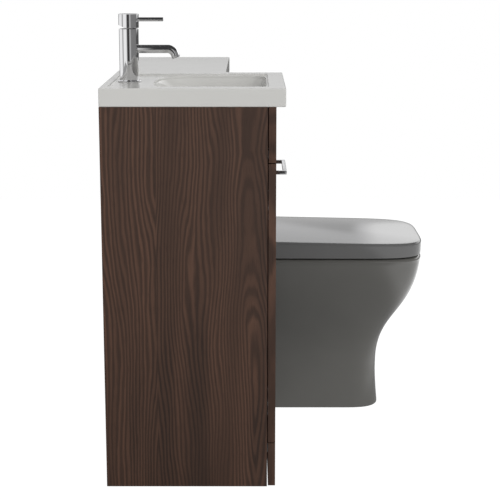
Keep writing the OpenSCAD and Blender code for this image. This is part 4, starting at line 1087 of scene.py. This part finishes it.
def pan_ring(z, share, inset=0.0, back=0.0):
    """A ring of the pan's skin: share 1 has the rim's plan, share 0 the foot's."""
    length = pan_box.size.y
    half_width = mix(FOOT_WIDTH, pan_box.size.x, share) / 2 - inset
    front = mix(length - FOOT_BACK, length, share) - inset
    reach = mix(FOOT_REACH, RIM_REACH, share)
    middle = front - reach
    square = mix(FOOT_SQUARE, RIM_SQUARE, share)
    plan = oval(half_width, middle, reach, middle - back, square, STRAIGHT)
    return tipped(plan, z)


def pan_bowl_ring(down, share, shift, grow=0.0, drop=0.0):
    """A ring of the bowl, grown by a wall for its outside."""
    rim = bpy.context.scene.bath_sizes.rim_width
    front = pan_box.size.y - RIM_FRONT
    middle, half_length = (front + BOWL_REAR) / 2, (front - BOWL_REAR) / 2
    reach = half_length * share + grow
    half_width = (pan_box.size.x / 2 - rim) * share + grow
    plan = oval(half_width, middle - shift, reach, reach, *OPENING)
    return tipped(plan, RIM_Z - (RIM_Z - SUMP_Z) * down - drop)


def profile_rings(inset, back, first, last, steps):
    """Rings of the S-shaped wall from the waist up, between two parts of its curve."""
    made = []
    for share in sweep(1, steps):
        t = mix(first, last, share)
        z = RIM_Z * bezier(PROFILE_HEIGHTS, t)
        made.append(pan_ring(z, bezier(PROFILE_SHARES, t), inset, back))
    return made


class BATH_OT_pan(Operator):
    """Models the back-to-wall pan as one hollow shell, from its sump round to its bowl."""

    bl_idname = "bath.pan"
    bl_label = "Toilet pan"

    def execute(self, context):
        bowl = glide(PAN_BOWL_STEPS, 5)
        under_rim = RIM_Z - 24 * MM
        outside = [pan_bowl_ring(*row, PAN_WALL, PAN_WALL) for row in reversed(bowl)]
        outside = [ring for ring in outside if max(p[2] for p in ring) < under_rim - MM]
        cavity = [pan_ring(under_rim, 1, PAN_WALL, PAN_WALL)]
        cavity += profile_rings(PAN_WALL, PAN_WALL, 0.12, 1.0, 26)
        cavity += [pan_ring(RIM_Z * s, 0, PAN_WALL, PAN_WALL) for s in (0.22, 0.1)]
        cavity += [pan_ring(0, 0, PAN_WALL - 2 * MM, PAN_WALL)]
        skin = [pan_ring(0, 0, 1.4 * MM - FOOT_FLARE)]
        for part in FLARE_STEPS:
            flare = FOOT_FLARE * (1 - part / FLARE_STEPS[-1]) ** 1.5
            skin.append(pan_ring(RIM_Z * part, 0, 0.3 * MM - flare))
        skin += profile_rings(0.0, 0.0, 1.0, 0.02, 60)
        curve = rounding(PAN_EDGE, sweep(90, 8))
        skin += [pan_ring(RIM_Z - down, 1, into) for into, down in curve]
        curve = rounding(PAN_LIP, sweep(90, 8))
        edge = [pan_bowl_ring(0, 1, 0, down, into) for into, down in curve]
        inside = [pan_bowl_ring(*row) for row in bowl]
        inside = [ring for ring in inside if ring[0][2] < edge[-1][0][2] - MM]
        obj = sheet_of_rings("pan", outside + cavity + skin + edge + inside)
        ends = PANEL + 5 * MM, PANEL - PAN_WALL - 4 * MM
        for pipe, gap in (("pan_connector", 3 * MM), ("flush_cone", 0)):
            box = Extent(pipe)
            cut(obj, rod(pipe + "_port", Y, box.centre, *ends, box.size.x / 2 + gap))
        stand_for(tidy_mesh(obj, 38), "pan", "grey_ceramic")
        return {"FINISHED"}


# ---- Seat and lid ----

LID_GAP = 3 * MM
LID_HALF_WIDTH = pan_box.size.x / 2 + 1.5 * MM
LID_LENGTH = pan_box.size.y + 0.5 * MM
LID_WALL = 3.5 * MM
LID_DOME = 3 * MM
LID_BACK = 56 * MM
LID_TOP = 45.7 * MM
# How far the lid's top falls towards its front, over its length
LID_SLOPE = math.tan(math.radians(1.03))
HINGE_BACK = 66 * MM
HINGE_RISE = 14 * MM
SEAT_BOTTOM = 6 * MM
SEAT_TOP = 24 * MM
SEAT_BACK = 82 * MM
SEAT_ROUND = 6 * MM
SEAT_GAP = 4 * MM
SEAT_SIDE_BAND = 64 * MM
SEAT_FRONT_BAND = 76 * MM
OPEN_BACK = 140 * MM
POST_SPACING = 155 * MM
POST_RADIUS = 6.5 * MM
LUG_GAP = 0.4 * MM
LUG_WIDTH = 10 * MM
LUG_RADIUS = 9 * MM


def on_rim(x, forward, z):
    """A point given on the rim's plane, tipped with it, in the frame."""
    c, s = math.cos(RIM_FALL), math.sin(RIM_FALL)
    return (PAN_X + x, PANEL - forward * c - z * s, RIM_Z - forward * s + z * c)


def lid_ring(inset, z, back=LID_BACK, slope=0.0):
    """A ring of the lid, drawn in by an inset on all sides but the back."""
    middle = LID_LENGTH - RIM_REACH
    half_width, reach = LID_HALF_WIDTH - inset, RIM_REACH - inset
    plan = oval(half_width, middle, reach, middle - back, RIM_SQUARE, STRAIGHT)
    return [on_rim(x, d, z - slope * (d - LID_BACK)) for x, d in plan]


def dome_rings(inset, top, back, steps):
    """Rings that close a domed plate towards its middle."""
    made = []
    for i in range(1, steps + 1):
        s = i / (steps + 0.4)
        z = top + LID_DOME * (1 - (1 - s) ** 2)
        made.append(lid_ring(mix(inset, LID_HALF_WIDTH, s), z, back, LID_SLOPE))
    return made


def add_lug(obj, ends, low, high):
    """Joins a hinge lug on: a round eye between two places across, with a web beside it.

    The web's corners are given by how deep and how high they lie from the hinge line.
    """
    hinge = on_rim(0, HINGE_BACK, HINGE_RISE)
    eye = rod("eye", X, hinge, PAN_X + ends[0], PAN_X + ends[1], LUG_RADIUS, 64)
    web = cuboid("web", (min(ends), *low), (max(ends), *high))
    web.data.transform(Matrix.Translation(hinge) @ Matrix.Rotation(RIM_FALL, 4, "X"))
    cut(obj, cut(eye, web, "UNION"), "UNION")


class BATH_OT_lid(Operator):
    """Models the wrap-over lid with its hinge lugs."""

    bl_idname = "bath.lid"
    bl_label = "Toilet lid"

    def execute(self, context):
        edge = context.scene.bath_sizes.lid_edge
        under = LID_TOP - LID_WALL
        inner_back = LID_BACK + LID_WALL
        inside = list(reversed(dome_rings(LID_WALL + edge, under, inner_back, 14)))
        for into, down in rounding(edge, (85, 70, 50, 30, 10)):
            inside.append(lid_ring(LID_WALL + into, under - down, inner_back, LID_SLOPE))
        inside += [lid_ring(LID_WALL + 0.3 * MM, LID_GAP + 10 * MM, inner_back)]
        inside += [lid_ring(LID_WALL + MM, LID_GAP + 0.4 * MM, inner_back)]
        outside = [lid_ring(LID_WALL + 0.6 * MM, LID_GAP)]
        outside += [lid_ring(1.6 * MM, LID_GAP), lid_ring(MM, LID_GAP + 0.6 * MM)]
        outside += [lid_ring(0.3 * MM, LID_GAP + 10 * MM)]
        for into, down in rounding(edge, sweep(85, 10)):
            outside.append(lid_ring(into, LID_TOP - down, slope=LID_SLOPE))
        outside += dome_rings(edge, LID_TOP, LID_BACK, 18)
        obj = sheet_of_rings("lid", inside + outside)
        # The back is open where the hinge posts stand
        half = LID_HALF_WIDTH - LID_WALL - 0.5 * MM
        low = (PAN_X - half, PANEL - LID_BACK - LID_WALL - 6 * MM, RIM_Z - 20 * MM)
        cut(obj, cuboid("back", low, (PAN_X + half, PANEL, RIM_Z + under - 2.5 * MM)))
        inner = POST_SPACING / 2 + POST_RADIUS + LUG_GAP
        high = LID_TOP + 0.5 * MM - HINGE_RISE
        for side in (-1, 1):
            ends = side * inner, side * (inner + LUG_WIDTH)
            add_lug(obj, ends, (-LUG_RADIUS, 0), (LUG_RADIUS, high))
        stand_for(tidy_mesh(obj, 35), "lid", "grey_plastic")
        return {"FINISHED"}


class BATH_OT_seat(Operator):
    """Models the seat ring as one closed, rounded band with its hinge lugs."""

    bl_idname = "bath.seat"
    bl_label = "Toilet seat"

    def execute(self, context):
        gap = LID_WALL + SEAT_GAP
        open_half = LID_HALF_WIDTH - gap - SEAT_SIDE_BAND
        open_front = LID_LENGTH - gap - SEAT_FRONT_BAND

        def outer(inset, z):
            return lid_ring(gap + inset, z, SEAT_BACK)

        def inner(grow, z):
            middle, reach = (open_front + OPEN_BACK) / 2, (open_front - OPEN_BACK) / 2 + grow
            plan = oval(open_half + grow, middle, reach, reach, *OPENING)
            return [on_rim(x, d, z) for x, d in plan]

        rings = [outer(MM, SEAT_BOTTOM), outer(0.3 * MM, SEAT_BOTTOM + 0.6 * MM)]
        rings.append(outer(0, SEAT_BOTTOM + 1.4 * MM))
        curve = rounding(SEAT_ROUND, sweep(88, 8))
        rings += [outer(into, SEAT_TOP - down) for into, down in curve]
        curve = reversed(rounding(SEAT_ROUND, sweep(88, 7)))
        rings += [inner(into + MM, SEAT_TOP - MM - down) for into, down in curve]
        rings += [inner(0, SEAT_BOTTOM + 4 * MM), inner(0.6 * MM, SEAT_BOTTOM + 0.6 * MM)]
        rings.append(inner(1.4 * MM, SEAT_BOTTOM))
        obj = sheet_of_rings("seat", rings, closed=False)
        start = POST_SPACING / 2 - POST_RADIUS - LUG_GAP - LUG_WIDTH
        low = (HINGE_BACK - SEAT_BACK - 2 * MM, -6 * MM)
        for side in (-1, 1):
            ends = sorted((side * start, side * (start + LUG_WIDTH)))
            add_lug(obj, ends, low, (0, 6 * MM))
        stand_for(tidy_mesh(obj, 38), "seat", "grey_plastic")
        return {"FINISHED"}


# ---- Studio ----

CAMERA_PLACE = Vector((LEFT - 2.8905, WALL - 0.3187, 1.1493))
CAMERA_TILT = math.radians(77.98)
CAMERA_TURN = math.radians(-89.94)
LENS = 100
FLOOR_SIZE = 6.4
FLOOR_GLOW = 1.16
LAMP_PLACE = Vector((-1.8, -2.0, 2.6))
LAMP_AIM = Vector((0, -0.1, 0.45))
LAMP_SIZE = 2.4
LAMP_WATTS = 8.6
# Tone that polished metal mirrors, by direction round the studio from behind the camera
STUDIO_WALL = [
    (0.000, 0.045), (0.020, 0.045), (0.042, 0.52), (0.060, 0.52), (0.089, 0.22), (0.256, 0.22),
    (0.289, 0.09), (0.500, 0.09), (0.560, 0.12), (0.583, 0.12), (0.640, 1.0), (0.767, 1.0),
    (0.794, 0.40), (0.815, 0.40), (0.839, 1.0), (0.925, 1.0), (0.965, 0.045),
]


class BATH_OT_stage(Operator):
    """Sets up the floor, the sky, one soft lamp and the camera."""

    bl_idname = "bath.stage"
    bl_label = "Studio"

    def execute(self, context):
        scene = context.scene
        scene.view_settings.view_transform = "Standard"
        self.floor()
        self.sky(scene)
        self.lamp()
        bpy.ops.object.camera_add(location=CAMERA_PLACE, rotation=(CAMERA_TILT, 0, CAMERA_TURN))
        camera = added("camera")
        camera.data.lens = LENS
        camera.data.clip_start, camera.data.clip_end = 0.05, 60
        scene.camera = camera
        return {"FINISHED"}

    def floor(self):
        bpy.ops.mesh.primitive_plane_add(size=FLOOR_SIZE)
        obj = added("floor")
        paint = new_paint("floor_white")
        seen, mirrored, through, bounced = paint.rays("Camera", "Glossy", "Transmission", "Diffuse")
        # Gloss mirrors the white floor in front, and the floor round the pan shines up at it
        x, y = paint.split(paint.where())[:2]
        front = (y * -1).step(0.42, 0.70)
        apart = ((x - PAN_X) ** 2 + (y + 0.4) ** 2) ** 0.5
        near = apart.step(0.95, 0.45)
        shown = seen * 0.88 + mirrored * front * 0.95 + through * 0.88 + bounced * near * 0.7
        matte = paint.node("ShaderNodeBsdfDiffuse", values={"Color": (0.55, 0.55, 0.55, 1)})
        glow = paint.node("ShaderNodeEmission", values={"Strength": FLOOR_GLOW})
        both = paint.node("ShaderNodeMixShader", values={0: shown, 1: matte, 2: glow})
        paint.node("ShaderNodeOutputMaterial", values={"Surface": both})
        obj.data.materials.append(paint.owner)

    def sky(self, scene):
        """White to the camera, even to matt surfaces, and a studio with dark walls to gloss."""
        scene.world = bpy.data.worlds.new("studio")
        paint = Paint(scene.world)
        x, y, z = paint.split(paint.node("ShaderNodeTexCoord", output="Generated"))
        around = y.maths("ARCTAN2", x) / math.tau + 0.5
        walls = paint.greys(around, STUDIO_WALL)
        far = x.step(0.1, 0.5) * z.step(0.02, 0.10)
        glare = (y * -1).step(0.084, 0.104)
        # A darker patch far behind shows as a soft shape on the lid's top
        left = (y * -1 - (z - 0.1886) * 0.914).step(0.050, 0.062)
        gloom = left * (1 - (y * -1).step(0.078, 0.088)) * 0.7
        behind = paint.blend(glare, (1.12, 1.12, 1.13), (1.75, 1.75, 1.75))
        behind = paint.blend(gloom, behind, (0.5, 0.5, 0.5))
        behind = paint.blend(z.step(0.13, 0.17), (0.86, 0.86, 0.86), behind)
        lit = paint.blend(far, walls, behind)
        lit = paint.blend(z.step(0.40, 0.55), lit, (0.045, 0.045, 0.047))
        # Matt surfaces are lit softly all round, and more from the front left
        side = (x * -0.86 + y * -0.42 + z * 0.30).step(0.0, 1.0)
        soft = paint.blend(side, (0.275, 0.275, 0.28), (1.36, 1.36, 1.35))
        seen, mirrored = paint.rays("Camera", "Glossy")
        tone = paint.blend(mirrored, soft, lit)
        tone = paint.blend(seen, tone, (1, 1, 1))
        back = paint.node("ShaderNodeBackground", values={"Color": tone, "Strength": 1.0})
        paint.node("ShaderNodeOutputWorld", values={"Surface": back})

    def lamp(self):
        """A large, dim lamp at the front left, which gloss doesn't mirror."""
        bpy.ops.object.light_add(type="AREA", location=LAMP_PLACE)
        obj = added("key")
        obj.data.size = LAMP_SIZE
        obj.data.energy = LAMP_WATTS
        obj.rotation_euler = (LAMP_AIM - LAMP_PLACE).to_track_quat("-Z", "Y").to_euler()
        obj.visible_glossy = False


# ---- Panel and registration ----

PIECES = (
    BATH_OT_stage, BATH_OT_boards, BATH_OT_worktop, BATH_OT_waste, BATH_OT_tap, BATH_OT_handle,
    BATH_OT_pan, BATH_OT_seat, BATH_OT_lid, BATH_OT_chrome, BATH_OT_fittings,
)


class BATH_PT_unit(Panel):
    """Lists the unit's pieces and their values."""

    bl_idname = "BATH_PT_unit"
    bl_label = "Toilet and basin unit"
    bl_space_type = "VIEW_3D"
    bl_region_type = "UI"
    bl_category = "Bathroom"

    def draw(self, context):
        for group in (context.scene.bath_finish, context.scene.bath_sizes):
            for key in group.__annotations__:
                self.layout.prop(group, key)
        for piece in PIECES:
            self.layout.operator(piece.bl_idname)


CLASSES = (BATH_PG_finish, BATH_PG_sizes, *PIECES, BATH_PT_unit)


def register():
    for cls in CLASSES:
        bpy.utils.register_class(cls)
    bpy.types.Scene.bath_finish = bpy.props.PointerProperty(type=BATH_PG_finish)
    bpy.types.Scene.bath_sizes = bpy.props.PointerProperty(type=BATH_PG_sizes)


def unregister():
    del bpy.types.Scene.bath_sizes
    del bpy.types.Scene.bath_finish
    for cls in reversed(CLASSES):
        bpy.utils.unregister_class(cls)


def main():
    register()
    for piece in PIECES:
        getattr(bpy.ops.bath, piece.bl_idname.split(".")[1])()


if __name__ == "__main__":
    main()
